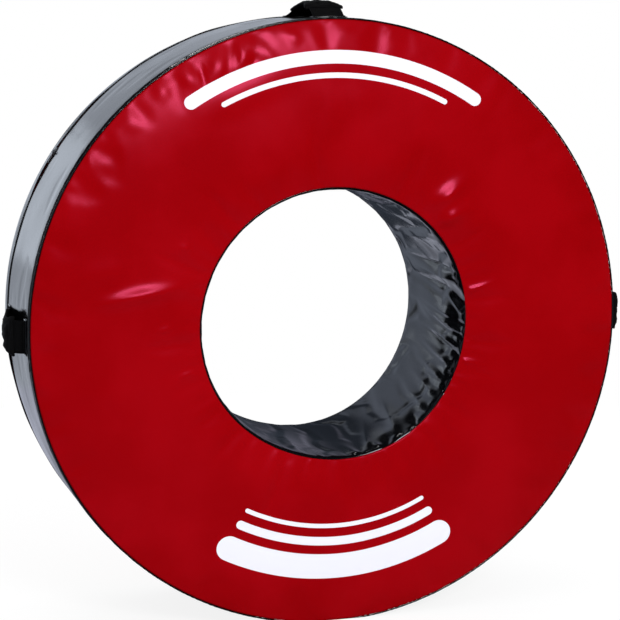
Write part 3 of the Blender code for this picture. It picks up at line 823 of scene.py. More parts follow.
def seam_puckers(seed, radius, direction, reach, height):
    """Short folds that run from a face's seam into the face."""
    rng = random.Random(seed)
    ridges = []
    degrees = -180.0
    while degrees < 180.0:
        length = rng.uniform(*reach)
        end = (degrees + rng.uniform(-PUCKER_TURN, PUCKER_TURN), radius + direction * length)
        width = rng.uniform(*PUCKER_WIDTH)
        widths = (width * share for share in PUCKER_WIDTH_SHARES)
        start = on_face(degrees, radius - direction * PUCKER_START)
        lift = rng.uniform(*height)
        ridges.append(Ridge(start, on_face(*end), *widths, lift, PUCKER_PEAK_SHARE))
        degrees += rng.uniform(*PUCKER_PITCH) / radius * RADIAN
    return ridges


def soft_swells(seed, height):
    """Long low swells across a face, roughly from the bore to the rim."""
    rng = random.Random(seed)
    ridges = []
    for _ in range(SWELL_COUNT):
        degrees = rng.uniform(-180.0, 180.0)
        first = rng.uniform(*SWELL_START)
        last = rng.uniform(*SWELL_END)
        end = on_face(degrees + rng.uniform(-SWELL_TURN, SWELL_TURN), last)
        width = rng.uniform(*SWELL_WIDTH)
        end_width = width * SWELL_END_WIDTH_SHARE
        lift = rng.uniform(*height) * rng.choice((-1.0, 1.0))
        ridges.append(Ridge(on_face(degrees, first), end, width, end_width, lift, SWELL_PEAK_SHARE))
    return ridges


def lift_face(piece, side, ridges, crispness=CRISPNESS):
    """Raises a face's ridges along its normal, and leaves both of its seams in place."""
    co = places(piece.data)
    flat = co[:, (0, 2)] - np.array((0.0, AXIS_HEIGHT))
    co[:, 1] += side * ridge_heights(flat, ridges, crispness=crispness)
    put(piece.data, co)


def lift_round(piece, direction, ridges, crispness=CRISPNESS):
    """Raises the ridges of a band or sleeve straight out from the axis, or towards it."""
    co = places(piece.data)
    angle, radius = polar(co)
    middle = radius.mean()
    flat = np.column_stack((angle * middle, co[:, 1]))
    heights = direction * ridge_heights(flat, ridges, math.tau * middle, crispness)
    push_out(piece, co, angle, heights)


def wave(angle, seed, counts, height):
    """An irregular wave round the ring, a sum of cosines with whole counts."""
    rng = random.Random(seed)
    total = np.zeros(len(angle))
    for _ in range(WAVE_PARTS):
        count = rng.randint(*counts)
        total += rng.uniform(*WAVE_STRENGTHS) * np.cos(count * angle + rng.uniform(0.0, math.tau))
    return height * total / WAVE_SUM


def ripple(piece, direction, faint_wave):
    """Faint waves round a band before it settles, so that its wrinkles have places."""
    co = places(piece.data)
    angle, _ = polar(co)
    width = co[:, 1].max() - co[:, 1].min()
    share = (co[:, 1] - co[:, 1].min()) / width
    leant = angle + RIPPLE_LEAN * co[:, 1]
    heights = direction * wave(leant, *faint_wave) * np.sin(math.pi * share)
    push_out(piece, co, angle, heights)


def dent_share(co):
    """How fully the handle on the floor holds up the tread over it."""
    across = smooth((DENT_HALF_WIDTH - np.abs(co[:, 0])) / DENT_EASE)
    front = (co[:, 1] + TREAD_FLAT) / (FOOT_FRONT - PATCH_MARGIN + TREAD_FLAT)
    rear = (ZIP_FRONT_EDGE - co[:, 1]) / (ZIP_FRONT_EDGE - FOOT_REAR - PATCH_MARGIN)
    return across * smooth(np.minimum(front, rear))


def sag(piece):
    """Moves the bore a little, and out of round, as the soft ring has settled."""
    co = places(piece.data)
    angle, radius = polar(co)
    share = smooth((SAG_REACH - radius) / (SAG_REACH - BORE_SEAM_RADIUS))
    swell = np.zeros(len(co))
    for turn, height in BORE_SWELLS:
        apart = np.angle(np.exp(1j * (angle - turn)))
        swell += height * np.exp(-((apart / BORE_SWELL_REACH) ** 2) / 2)
    co[:, 0] += (BORE_SHIFT[0] + swell * np.sin(angle)) * share
    co[:, 2] += (BORE_SHIFT[1] + swell * np.cos(angle)) * share
    put(piece.data, co)


def press_on_floor(piece):
    """Flattens a skin where it rests on the floor, and on the handle that lies there."""
    co = places(piece.data)
    floor = (PRESSED_THICKNESS + HANDLE_GAP) * dent_share(co)
    co[:, 2] = np.maximum(co[:, 2], floor)
    put(piece.data, co)


def dress(piece, slot, *nodes, fill=None):
    """Puts a piece on the root body, and hides the nodes it stands for; its finish is not used."""
    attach(piece, "root")
    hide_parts(*nodes)


def make_faces():
    """Both faces before they settle."""
    faces = []
    for name, side, rim, steps in (
        ("front_face", -1, RIM_RADIUS, FRONT_FACE_STEPS),
        ("rear_face", 1, RIM_RADIUS - REAR_RIM_DRAW, REAR_FACE_STEPS),
    ):
        material = RED_PRINTED if side < 0 else RED_PLAIN
        outward = Vector((0.0, side, 0.0))
        profile = face_profile(side, rim, FACE_RUNS)
        piece = turned_skin(name, profile, steps, lambda place, way=outward: way, material)
        _, radius = polar(places(piece.data))
        near_bore = radius < BORE_SEAM_RADIUS + FACE_SEAM_HELD
        hold(piece, near_bore | (radius > rim - FACE_SEAM_HELD))
        faces.append(piece)
    return faces


def make_tread():
    """The wide band of the tread before it settles."""
    piece = turned_skin("tread_skin", tread_profile(), TREAD_STEPS, from_axis, BLACK_VINYL)
    ripple(piece, 1, TREAD_RIPPLE)
    co = places(piece.data)
    angle, _ = polar(co)
    shoulder = co[:, 1] < -TREAD_FLAT + SHOULDER_HELD
    zip_edge = co[:, 1] > ZIP_FRONT_EDGE - ZIP_EDGE_HELD
    foot = np.abs(angle) > FOOT_HELD_FROM
    patches = np.zeros(len(co), bool)
    for arch in ARCHES.values():
        apart = np.abs(np.angle(np.exp(1j * (angle - arch.turn)))) * TREAD_RADIUS
        patches |= apart < STRAP_WIDTH / 2 + STRAP_SIDE_HELD
    hold(piece, shoulder | zip_edge | foot | patches)
    return piece


def make_rear_tread():
    """The narrow band of the tread, which stays as it is turned."""
    profile = rear_tread_profile()
    piece = turned_skin("rear_tread_skin", profile, TREAD_STEPS, from_axis, BLACK_VINYL)
    refine(piece)
    return piece


def make_sleeve():
    """The bore's sleeve before it settles."""
    piece = turned_skin("bore_skin", sleeve_profile(), SLEEVE_STEPS, to_axis, SLEEVE_VINYL)
    ripple(piece, -1, SLEEVE_RIPPLE)
    co = places(piece.data)
    hold(piece, np.abs(co[:, 1]) > SEAM_HALF_WIDTH - SLEEVE_SEAM_HELD)
    return piece


def make_beads():
    """The corded piping in both rim seams, pinched by its stitches."""
    for label, side, rim in (("front", -1, RIM_RADIUS), ("rear", 1, RIM_RADIUS - REAR_RIM_DRAW)):
        middle = rim + PIPING_GAP + PIPING_RADIUS
        y = abs(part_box(f"{label}_piping")[0].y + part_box(f"{label}_piping")[1].y) / 2
        profile = []
        for k in range(BEAD_SIDES):
            angle = math.tau * k / BEAD_SIDES
            profile.append((
                middle + PIPING_RADIUS * math.cos(angle),
                side * y + PIPING_RADIUS * math.sin(angle),
            ))
        bead = add_piece(f"{label}_bead", turned(profile, BEAD_STEPS, closed=True), PIPING)
        co = places(bead.data)
        angle, radius = polar(co)
        pinch = 1.0 + sum(wave(angle, *pinches) for pinches in BEAD_PINCHES)
        grown = middle + (radius - middle) * pinch
        co[:, 0] = np.sin(angle) * grown
        co[:, 2] = AXIS_HEIGHT + np.cos(angle) * grown
        co[:, 1] += wave(angle, *BEAD_WANDER)
        put(bead.data, co)
        press_on_floor(bead)
        dress(bead, "black_piping", f"{label}_piping")


def pucker_shoulder(piece):
    """Short waves along the tread's front shoulder and its crease."""
    co = places(piece.data)
    angle, _ = polar(co)
    share = smooth((SHOULDER_PUCKER_START - TREAD_FLAT - co[:, 1]) / SHOULDER_PUCKER_REACH)
    push_out(piece, co, angle, share * sum(wave(angle, *puckers) for puckers in SHOULDER_PUCKERS))


def wander_at_zip(piece, edge, side, lift):
    """Lets a tread skin's edge lap over its zip tape, and stand up from it, unevenly."""
    co = places(piece.data)
    angle, _ = polar(co)
    share = smooth(1.0 - np.abs(co[:, 1] - edge) / ZIP_WANDER_REACH)
    lap = ZIP_LAP + wave(angle, LAP_WAVE.seed + side, LAP_WAVE.counts, LAP_WAVE.height)
    co[:, 1] -= side * share * np.clip(lap, 0.0, ZIP_LAP_LIMIT)
    uneven = 1.0 + wave(angle, LIFT_WAVE.seed + side, LIFT_WAVE.counts, LIFT_WAVE.height)
    push_out(piece, co, angle, share * lift * np.clip(uneven, 0.0, ZIP_LIFT_LIMIT_SHARE))


def swell_behind_zip(piece):
    """The narrow band stands up from the zip on the ring's left, where it has slumped."""
    co = places(piece.data)
    angle, _ = polar(co)
    near = np.exp(-((angle - ZIP_SWELL_TURN) / ZIP_SWELL_REACH) ** 2)
    share = np.clip((TREAD_EDGE - co[:, 1]) / (TREAD_EDGE - ZIP_REAR_EDGE), 0.0, 1.0)
    raised = ZIP_SWELL * near * np.sin(math.pi * share)
    push_out(piece, co, angle, raised)


def make_cover():
    """The whole cover: skins that settle as cloth, their folds, and their seams."""
    front, rear = make_faces()
    tread = make_tread()
    rear_tread = make_rear_tread()
    sleeve = make_sleeve()
    lift_face(front, -1, soft_swells(2, FRONT_SWELL_HEIGHT))
    lift_face(rear, 1, soft_swells(3, REAR_SWELL_HEIGHT))
    lift_round(sleeve, -1, gathers() + rear_gathers())
    settle((
        (front, FRONT_SETTLING),
        (rear, REAR_SETTLING),
        (tread, TREAD_SETTLING),
        (sleeve, SLEEVE_SETTLING),
    ))
    lift_round(sleeve, -1, sleeve_folds(), SLEEVE_CRISPNESS)
    lift_face(front, -1, face_folds(RIM_FOLDS, RIM_PEAK_SHARE), RIM_CRISPNESS)
    lift_face(front, -1, face_folds(FACE_FOLDS, FACE_PEAK_SHARE))
    lift_face(front, -1, face_folds(WEDGE_FOLDS, WEDGE_PEAK_SHARE))
    lift_face(front, -1, face_folds(BORE_FOLDS, BORE_PEAK_SHARE))
    for seed, piece, side, rim in (
        (51, front, -1, RIM_RADIUS),
        (53, rear, 1, RIM_RADIUS - REAR_RIM_DRAW),
    ):
        rim_puckers = seam_puckers(seed, rim, -1, RIM_PUCKER_REACH, RIM_PUCKER_HEIGHT)
        lift_face(piece, side, rim_puckers)
        bore_puckers = seam_puckers(
            seed + 1, BORE_SEAM_RADIUS, 1, BORE_PUCKER_REACH, BORE_PUCKER_HEIGHT
        )
        lift_face(piece, side, bore_puckers)
    pucker_shoulder(tread)
    wander_at_zip(tread, ZIP_FRONT_EDGE, -1, ZIP_LIFT)
    wander_at_zip(rear_tread, ZIP_REAR_EDGE, 1, ZIP_REAR_LIFT)
    swell_behind_zip(rear_tread)
    for piece in (front, rear, sleeve):
        sag(piece)
    for piece in (front, rear, tread, rear_tread, sleeve):
        press_on_floor(piece)
        thicken(piece, VINYL)
    dress(front, "red_vinyl", "front_panel", fill=COVER_FILL_SHARE)
    dress(rear, "red_vinyl", "rear_panel", fill=COVER_FILL_SHARE)
    dress(tread, "black_vinyl", "tread_band", fill=COVER_FILL_SHARE)
    dress(rear_tread, "black_vinyl", "rear_tread_band", fill=COVER_FILL_SHARE)
    dress(sleeve, "black_vinyl", "bore_sleeve", fill=SLEEVE_FILL_SHARE)


def make_foam():
    """Three slabs of foam inside the cover."""
    inner = BORE_SEAM_RADIUS + FOAM_INSET
    outer = RIM_RADIUS - REAR_RIM_DRAW - FOAM_INSET
    face = SEAM_HALF_WIDTH - FOAM_INSET
    spans = {
        "front": (-face, -SLAB_SPLIT - FOAM_SLIT),
        "middle": (-SLAB_SPLIT, SLAB_SPLIT),
        "rear": (SLAB_SPLIT + FOAM_SLIT, face),
    }
    for name, (low, high) in spans.items():
        corners = [(inner, low), (outer, low), (outer, high), (inner, high)]
        bm = turned(corners, FOAM_STEPS, closed=True)
        piece = add_piece(f"{name}_foam", bm, FOAM)
        rounding = piece.modifiers.new("rounding", "BEVEL")
        rounding.width = FOAM_ROUND
        rounding.segments = 2
        rounding.limit_method = "ANGLE"
        dress(piece, "foam_core", f"foam_slab_{name}", fill=FOAM_FILL_SHARE)


# The zip


def make_teeth():
    """The closed chain of teeth, one after the other on either side of its middle."""
    bm = bmesh.new()
    bottom = TREAD_RADIUS - VINYL
    step = TOOTH_PITCH / bottom
    for side in (-1, 1):
        tooth = bmesh.ops.create_cube(bm, size=1.0)["verts"]
        bmesh.ops.scale(bm, vec=TOOTH, verts=tooth)
        lower = [vert for vert in tooth if vert.co.z < 0.0]
        bmesh.ops.scale(bm, vec=(1.0, TOOTH_FOOT_SHARE, 1.0), verts=lower)
        height = AXIS_HEIGHT + bottom + TOOTH[2] / 2 + PIPING_GAP
        bmesh.ops.translate(bm, vec=(0.0, ZIP_PLACE + side * TOOTH_OFFSET, height), verts=tooth)
        edges = {edge for vert in tooth for edge in vert.link_edges}
        bmesh.ops.bevel(
            bm,
            geom=list(edges),
            offset=TOOTH_BEVEL,
            affect="EDGES",
            segments=1,
            profile=0.5,
            material=-1,
        )
        shape = [vert for vert in bm.verts if not vert.tag]
        turn = CHAIN_START + (step / 2 if side > 0 else 0.0)
        bmesh.ops.rotate(bm, cent=AXIS, matrix=Matrix.Rotation(turn, 3, "Y"), verts=shape)
        repeat(
            bm,
            shape,
            int((CHAIN_END - CHAIN_START) / step),
            cent=AXIS,
            axis=(0.0, 1.0, 0.0),
            dvec=(0.0, 0.0, 0.0),
            angle=CHAIN_END - CHAIN_START,
        )
        for vert in bm.verts:
            vert.tag = True
    bmesh.ops.recalc_face_normals(bm, faces=bm.faces)
    teeth = add_piece("zip_teeth", bm, TEETH)
    dress(teeth, "zip_tape", "zip_chain")


# Handles, first made flat, as (across, y, height over the tread)


def arch_place(arch, share):
    """The strap's middle at a share of its arch, as (y, height)."""
    y = FRONT_RISE + (REAR_RISE - FRONT_RISE) * share ** (1 / arch.lean_share)
    slump = 1.0 - ARCH_SLUMP_SHARE * max(0.0, share - ARCH_SLUMP_START_SHARE)
    return y, STRAP_REST + arch.rise * math.sin(math.pi * share) ** ARCH_POWER * slump


def strap_place(arch, share):
    """The strap's middle at a share of its whole run, feet and arch."""
    if share < ARCH_START_SHARE:
        return FOOT_FRONT + FRONT_FOOT * share / ARCH_START_SHARE, STRAP_REST
    if share > ARCH_END_SHARE:
        return REAR_RISE + REAR_FOOT * (share - ARCH_END_SHARE) / (1 - ARCH_END_SHARE), STRAP_REST
    return arch_place(arch, (share - ARCH_START_SHARE) / (ARCH_END_SHARE - ARCH_START_SHARE))


def set_on_tread(bm, arch):
    """Bends flat handle work round the tread, or lays it under the tread on the floor."""
    for vert in bm.verts:
        across, y, height = vert.co
        if arch is PRESSED:
            vert.co = Vector((-across, y, PRESSED_THICKNESS + HANDLE_GAP - height))
            continue
        angle = arch.turn + across / TREAD_RADIUS
        radius = TREAD_RADIUS + height
        vert.co = AXIS + Vector((radius * math.sin(angle), y, radius * math.cos(angle)))
    bmesh.ops.recalc_face_normals(bm, faces=bm.faces)


def flat_strip(across_runs, along_runs):
    """A unit strip with a UV map, across along X and its length along Y."""
    bm = bmesh.new()
    bm.loops.layers.uv.new("weave")
    bmesh.ops.create_grid(
        bm, x_segments=across_runs, y_segments=along_runs, size=0.5, calc_uvs=True
    )
    return bm


def make_strap(side, arch):
    """Webbing from foot to foot, over the arch."""
    bm = flat_strip(*STRAP_RUNS)
    for vert in bm.verts:
        y, height = strap_place(arch, vert.co.y + 0.5)
        across = vert.co.x * STRAP_WIDTH
        vert.co = Vector((across, y, height))
    set_on_tread(bm, arch)
    face_outwards(bm, from_axis)
    strap = add_piece(f"{side}_webbing", bm, WEBBING)
    wall = strap.modifiers.new("wall", "SOLIDIFY")
    wall.thickness = STRAP
    wall.offset = 0.0
    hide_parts(f"{side}_strap")
    if arch is PRESSED:
        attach(strap, "root")
        return
    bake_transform(strap)


def crumpled(rng):
    """A function that crumples the points of a unit pad, with soft creases across it."""
    shift = Vector((rng.uniform(0.0, CRUMPLE_SHIFT), 0.0, 0.0))
    creases = [
        (rng.uniform(*CREASE_PLACE_SHARES), rng.uniform(*CREASE_REACH_SHARES), rng.uniform(0.0, 1.0))
        for _ in range(GRIP_CREASES)
    ]

    def crumple(x, along, z, out, width):
        """The point's new x and out, and the pad's width there."""
        dip = sum(depth * math.exp(-((along - place) / reach) ** 2) for place, reach, depth in creases)
        out *= 1.0 - CREASE_DEPTH_SHARE * dip
        width *= 1.0 - GRIP_WAIST_SHARE * math.cos(along * math.pi / 2) ** 2
        spot = Vector((x, along, z)) * Vector(CRUMPLE_SCALE) + shift
        x += CRUMPLE_EDGE_SHARE * noise.noise(spot * CRUMPLE_EDGE_SCALE)
        out += CRUMPLE_COARSE * noise.noise(spot)
        out += CRUMPLE_FINE * noise.noise(spot * CRUMPLE_FINE_SCALE)
        return x, out, width

    return crumple


def make_grip(side, arch):
    """The padded grip round the strap, or the pad that lies pressed on the floor."""
    crumple = crumpled(random.Random(f"{side} grip"))
    bm = bmesh.new()
    bmesh.ops.create_icosphere(bm, subdivisions=GRIP_SUBDIVISIONS, radius=1.0)
    half = (PRESSED_THICKNESS if arch is PRESSED else GRIP_THICKNESS) / 2
    for vert in bm.verts:
        x, along, z = vert.co
        square = math.hypot(x, along) / max(abs(x), abs(along), MERGE_DISTANCE)
        x *= square
        along *= square
        out = math.copysign(abs(z) ** GRIP_EDGE_POWER, z) * half
        width = GRIP_WIDTH
        if arch is not PRESSED:
            x, out, width = crumple(x, along, z, out, width)
        share = GRIP_START_SHARE + (GRIP_END_SHARE - GRIP_START_SHARE) * (along + 1) / 2
        y, height = arch_place(arch, share)
        if arch is PRESSED:
            height = PRESSED_THICKNESS / 2
        before = Vector(arch_place(arch, share - ARCH_STEP_SHARE))
        after = Vector(arch_place(arch, share + ARCH_STEP_SHARE))
        run = (after - before).normalized()
        vert.co = Vector((x * width / 2, y - run.y * out, height + run.x * out))
    set_on_tread(bm, arch)
    grip = add_piece(f"{side}_pad", bm, GRIP_NYLON)
    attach(grip, "root" if arch is PRESSED else f"{side}_handle")
    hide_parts(f"{side}_grip")


def make_patch(side, end, arch, span):
    """The doubled vinyl under a strap's foot."""
    bm = flat_strip(*PATCH_RUNS)
    half = STRAP_WIDTH / 2 + PATCH_MARGIN
    for vert in bm.verts:
        y = span[0] + (span[1] - span[0]) * (vert.co.y + 0.5)
        vert.co = Vector((vert.co.x * 2 * half, y, HANDLE_GAP + PATCH))
    set_on_tread(bm, arch)
    face_outwards(bm, from_axis)
    patch = add_piece(f"{side}_{end}_doubler", bm, BLACK_VINYL)
    thicken(patch, PATCH)
    dress(patch, "black_vinyl", f"{side}_{end}_patch")


def make_stitches(side, arch):
    """Thread round each patch, and a crossed box through each foot of the strap."""
    bm = bmesh.new()
    half = STRAP_WIDTH / 2 + PATCH_MARGIN - STITCH_INSET
    over_patch = HANDLE_GAP + PATCH + THREAD_LIFT
    over_strap = STRAP_REST + STRAP / 2 + THREAD_LIFT
    runs = []
    for side_of_tread, (low, high) in ((-1, FRONT_PATCH), (1, REAR_PATCH)):
        low += STITCH_INSET
        high -= STITCH_INSET
        outer = low if side_of_tread < 0 else high
        runs.append(((-half, outer), (half, outer), over_patch))
        runs += [((x, low), (x, high), over_patch) for x in (-half, half)]
    box = STRAP_WIDTH / 2 - STITCH_BOX_INSET
    for low, high in ((FOOT_FRONT + STITCH_INSET, FRONT_RISE), (REAR_RISE, FOOT_REAR - STITCH_INSET)):
        runs += [((-box, y), (box, y), over_strap) for y in (low, high)]
        runs += [((x, low), (x, high), over_strap) for x in (-box, box)]
        runs += [((-box, low), (box, high), over_strap), ((-box, high), (box, low), over_strap)]
    for start, end, height in runs:
        add_stitch_run(bm, Vector(start), Vector(end), height)
    set_on_tread(bm, arch)
    thread = add_piece(f"{side}_stitches", bm, THREAD)
    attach(thread, "root")


def add_stitch_run(bm, start, end, height):
    """A straight row of stitches, each a short six-sided bar."""
    run = end - start
    count = max(1, round(run.length / STITCH_PITCH))
    for vert in bm.verts:
        vert.tag = True
    bmesh.ops.create_cone(
        bm,
        cap_ends=True,
        segments=THREAD_SIDES,
        radius1=THREAD_RADIUS,
        radius2=THREAD_RADIUS,
        depth=STITCH,
    )
    shape = [vert for vert in bm.verts if not vert.tag]
    turn = Vector((0.0, 0.0, 1.0)).rotation_difference(Vector((run.x, run.y, 0.0)))
    bmesh.ops.rotate(bm, cent=(0.0, 0.0, 0.0), matrix=turn.to_matrix(), verts=shape)
    first = start + run * (0.5 / count)
    bmesh.ops.translate(bm, vec=(first.x, first.y, height), verts=shape)
    step = run / count
    repeat(
        bm,
        shape,
        count - 1,
        cent=(0.0, 0.0, 0.0),
        axis=(0.0, 0.0, 1.0),
        dvec=(step.x, step.y, 0.0),
        angle=0.0,
    )


def make_handles():
    """The three standing handles, and the one that lies under the ring."""
    for side, arch in (*ARCHES.items(), ("bottom", PRESSED)):
        make_strap(side, arch)
        make_grip(side, arch)
        make_patch(side, "front", arch, FRONT_PATCH)
        make_patch(side, "rear", arch, REAR_PATCH)
        make_stitches(side, arch)


# Materials


def plug(tree, socket, value):
    """Gives an input a value, or links another node's output to it."""
    if isinstance(value, bpy.types.NodeSocket):
        tree.links.new(value, socket)
    else:
        socket.default_value = value


def add_node(tree, kind, inputs=None, **properties):
    """A node with its properties set, and each input given a value or a linked socket."""
    made = tree.nodes.new(kind)
    for name, value in properties.items():
        setattr(made, name, value)
    for name, value in (inputs or {}).items():
        plug(tree, made.inputs[name], value)
    return made


def clouds(tree, place, kind):
    """Noise as a value."""
    inputs = {"Vector": place, "Scale": kind.scale, "Detail": kind.detail}
    return add_node(tree, "ShaderNodeTexNoise", inputs).outputs["Fac"]


def cells(tree, place, scale):
    """How far each place is from the middle of its cell."""
    inputs = {"Vector": place, "Scale": scale}
    return add_node(tree, "ShaderNodeTexVoronoi", inputs).outputs["Distance"]


def maths(tree, operation, *values):
    """The result of a Math node."""
    inputs = dict(enumerate(values))
    return add_node(tree, "ShaderNodeMath", inputs, operation=operation).outputs[0]


def ranged(tree, value, low, high, to_low=0.0, to_high=1.0):
    """A value eased from one range to another."""
    inputs = {"Value": value, "From Min": low, "From Max": high, "To Min": to_low, "To Max": to_high}
    return add_node(tree, "ShaderNodeMapRange", inputs, interpolation_type="SMOOTHSTEP").outputs[0]


def sine(tree, value, rate):
    """A wave of a value."""
    return maths(tree, "SINE", maths(tree, "MULTIPLY", value, rate))


def length_of(tree, first, second):
    """The length of an arrow with two parts at right angles."""
    first = maths(tree, "MULTIPLY", first, first)
    second = maths(tree, "MULTIPLY", second, second)
    return maths(tree, "SQRT", maths(tree, "ADD", first, second))


def blended(tree, share, first, second):
    """A colour mixed from two others."""
    inputs = {0: share, 6: first, 7: second}
    return add_node(tree, "ShaderNodeMix", inputs, data_type="RGBA").outputs[2]


def new_group(name, inputs, outputs):
    """An empty node group with its sockets, and its two end nodes."""
    group = bpy.data.node_groups.new(name, "ShaderNodeTree")
    for label, kind in inputs:
        group.interface.new_socket(name=label, in_out="INPUT", socket_type=kind)
    for label, kind in outputs:
        group.interface.new_socket(name=label, in_out="OUTPUT", socket_type=kind)
    entry = group.nodes.new("NodeGroupInput")
    leave = group.nodes.new("NodeGroupOutput")
    return group, entry, leave


def grain_group():
    """Fine pebbled grain as a height, and slow mottling as a value."""
    group, entry, leave = new_group(
        "vinyl_grain",
        [("Vector", "NodeSocketVector")],
        [("Height", "NodeSocketFloat"), ("Mottle", "NodeSocketFloat")],
    )
    place = entry.outputs["Vector"]
    pebble = cells(group, place, PEBBLE_SCALE)
    fine = clouds(group, place, FINE_GRAIN)
    height = maths(group, "MULTIPLY_ADD", fine, FINE_GRAIN_SHARE, pebble)
    mottle = ranged(group, clouds(group, place, MOTTLE), *MOTTLE_RANGE)
    group.links.new(height, leave.inputs["Height"])
    group.links.new(mottle, leave.inputs["Mottle"])
    return group


def stripe_group():
    """A mask of a stripe along an arc about the ring's middle, with round ends."""
    group, entry, leave = new_group(
        "arc_stripe",
        [
            ("Vector", "NodeSocketVector"),
            ("Turn", "NodeSocketFloat"),
            ("Half Turn", "NodeSocketFloat"),
            ("Radius", "NodeSocketFloat"),
            ("Half Width", "NodeSocketFloat"),
        ],
        [("Mask", "NodeSocketFloat")],
    )
    split = add_node(group, "ShaderNodeSeparateXYZ", {0: entry.outputs["Vector"]})
    x = split.outputs["X"]
    z = maths(group, "SUBTRACT", split.outputs["Z"], AXIS_HEIGHT)
    angle = maths(group, "ARCTAN2", x, z)
    apart = maths(group, "SUBTRACT", angle, entry.outputs["Turn"])
    apart = maths(group, "ABSOLUTE", maths(group, "WRAP", apart, math.pi, -math.pi))
    past_end = maths(group, "SUBTRACT", apart, entry.outputs["Half Turn"])
    past_end = maths(group, "MAXIMUM", past_end, 0.0)
    radius = length_of(group, x, z)
    off_arc = maths(group, "SUBTRACT", radius, entry.outputs["Radius"])
    off_end = maths(group, "MULTIPLY", past_end, entry.outputs["Radius"])
    distance = length_of(group, off_arc, off_end)
    inside = maths(group, "SUBTRACT", entry.outputs["Half Width"], distance)
    group.links.new(ranged(group, inside, -PRINT_EDGE, PRINT_EDGE), leave.inputs["Mask"])
    return group


def scaled(colour, share):
    """A lighter or darker colour, with its alpha added."""
    return (*(channel * share for channel in colour), 1.0)


def start_material(name):
    """A new material, its tree, its shader, and the place on the piece."""
    material = bpy.data.materials.new(name)
    material.use_nodes = True
    tree = material.node_tree
    place = tree.nodes.new("ShaderNodeTexCoord").outputs["Object"]
    return material, tree, tree.nodes["Principled BSDF"], place


def finish_shader(tree, shader, height, bump, **inputs):
    """Gives a shader its inputs, and a bump of a height, as (depth, strength)."""
    for name, value in inputs.items():
        plug(tree, shader.inputs[name.replace("_", " ")], value)
    inputs = {"Height": height, "Distance": bump[0], "Strength": bump[1]}
    tree.links.new(add_node(tree, "ShaderNodeBump", inputs).outputs[0], shader.inputs["Normal"])


def vinyl(name, coating, stripes=()):
    """Coated fabric with a fine grain, a little uneven in colour and gloss."""
    material, tree, shader, place = start_material(name)
    shader.inputs["Specular Tint"].default_value = (*coating.tint, 1.0)
    shader.inputs["Specular IOR Level"].default_value = coating.level
    grain = add_node(tree, "ShaderNodeGroup", {}, node_tree=GRAIN)
    tree.links.new(place, grain.inputs["Vector"])
    mottle = grain.outputs["Mottle"]
    base = blended(tree, mottle, *(scaled(coating.colour, share) for share in MOTTLE_SHARES))
    height = grain.outputs["Height"]
    if stripes:
        print_mask = 0.0
        for stripe in stripes:
            mask = add_node(tree, "ShaderNodeGroup", {}, node_tree=STRIPE)
            tree.links.new(place, mask.inputs["Vector"])
            mask.inputs["Turn"].default_value = math.radians(stripe.turn)
            mask.inputs["Half Turn"].default_value = math.radians(stripe.half_turn)
            mask.inputs["Radius"].default_value = stripe.radius
            mask.inputs["Half Width"].default_value = stripe.half_width
            print_mask = maths(tree, "MAXIMUM", mask.outputs["Mask"], print_mask)
        base = blended(tree, print_mask, base, PRINT_WHITE)
        height = maths(tree, "MULTIPLY_ADD", print_mask, PRINT_GRAIN_RISE, height)
    uneven = (coating.roughness + change for change in MOTTLE_ROUGHNESS)
    roughness = ranged(tree, mottle, 0.0, 1.0, *uneven)
    finish_shader(tree, shader, height, VINYL_BUMP, Base_Color=base, Roughness=roughness)
    return material


def webbing():
    """Woven nylon: ribs across the strap, crossed by finer ones along it, with painted shade in the
    weave's pits.
    """
    material, tree, shader, _ = start_material("nylon_webbing")
    place = add_node(tree, "ShaderNodeUVMap", uv_map="weave").outputs["UV"]
    split = add_node(tree, "ShaderNodeSeparateXYZ", {0: place})
    ribs = sine(tree, split.outputs["Y"], math.tau * RIBS_ALONG)
    cords = sine(tree, split.outputs["X"], math.tau * CORDS_ACROSS)
    height = maths(tree, "MULTIPLY_ADD", maths(tree, "MULTIPLY", ribs, cords), 0.5, 0.5)
    # painted shade: the colour follows the weave's height, darker in its pits and lighter on its crests
    colour = blended(tree, height, *WEBBING_PAINTED_SHADE_COLOURS)
    shader.inputs["Roughness"].default_value = WEBBING_ROUGHNESS
    shader.inputs["Specular IOR Level"].default_value = WEBBING_SPECULAR
    finish_shader(tree, shader, height, WEBBING_BUMP, Base_Color=colour)
    return material


def woven(name):
    """A plain woven fabric, as crossed threads on the piece's own coordinates."""
    fabric = FABRICS[name]
    material, tree, shader, place = start_material(name)
    split = add_node(tree, "ShaderNodeSeparateXYZ", {0: place})
    x, y, z = (sine(tree, split.outputs[axis], fabric.weave) for axis in ("X", "Y", "Z"))
    weave = maths(tree, "ADD", maths(tree, "MULTIPLY", x, y), z)
    lint = clouds(tree, place, LINT)
    height = maths(tree, "MULTIPLY_ADD", weave, WEAVE_HEIGHT_SHARE, lint)
    base = blended(tree, lint, *(scaled(fabric.colour, share) for share in WEAVE_SHARES))
    shader.inputs["Roughness"].default_value = fabric.roughness
    shader.inputs["Specular IOR Level"].default_value = WOVEN_SPECULAR
    finish_shader(tree, shader, height, WOVEN_BUMP, Base_Color=base)
    return material


def foam():
    """Grey foam with small cells, each with painted shade that darkens its pit."""
    material, tree, shader, place = start_material("core_foam")
    depth = cells(tree, place, CELL_SCALE)
    # painted shade: the colour is darkest in the middle of each cell, where the bump makes a pit
    base = blended(tree, depth, *FOAM_PAINTED_SHADE_COLOURS)
    shader.inputs["Roughness"].default_value = FOAM_ROUGHNESS
    finish_shader(tree, shader, depth, FOAM_BUMP, Base_Color=base)
    return material


def metal():
    """Dark cast metal, rubbed a little brighter in places."""
    material, tree, shader, place = start_material("dark_metal")
    shader.inputs["Metallic"].default_value = 1.0
    rubbed = clouds(tree, place, RUBBED)
    share = ranged(tree, rubbed, *RUB_RANGE)
    base = blended(tree, share, *METAL_COLOURS)
    roughness = ranged(tree, share, 0.0, 1.0, *METAL_ROUGHNESS)
    finish_shader(tree, shader, rubbed, METAL_BUMP, Base_Color=base, Roughness=roughness)
    return material


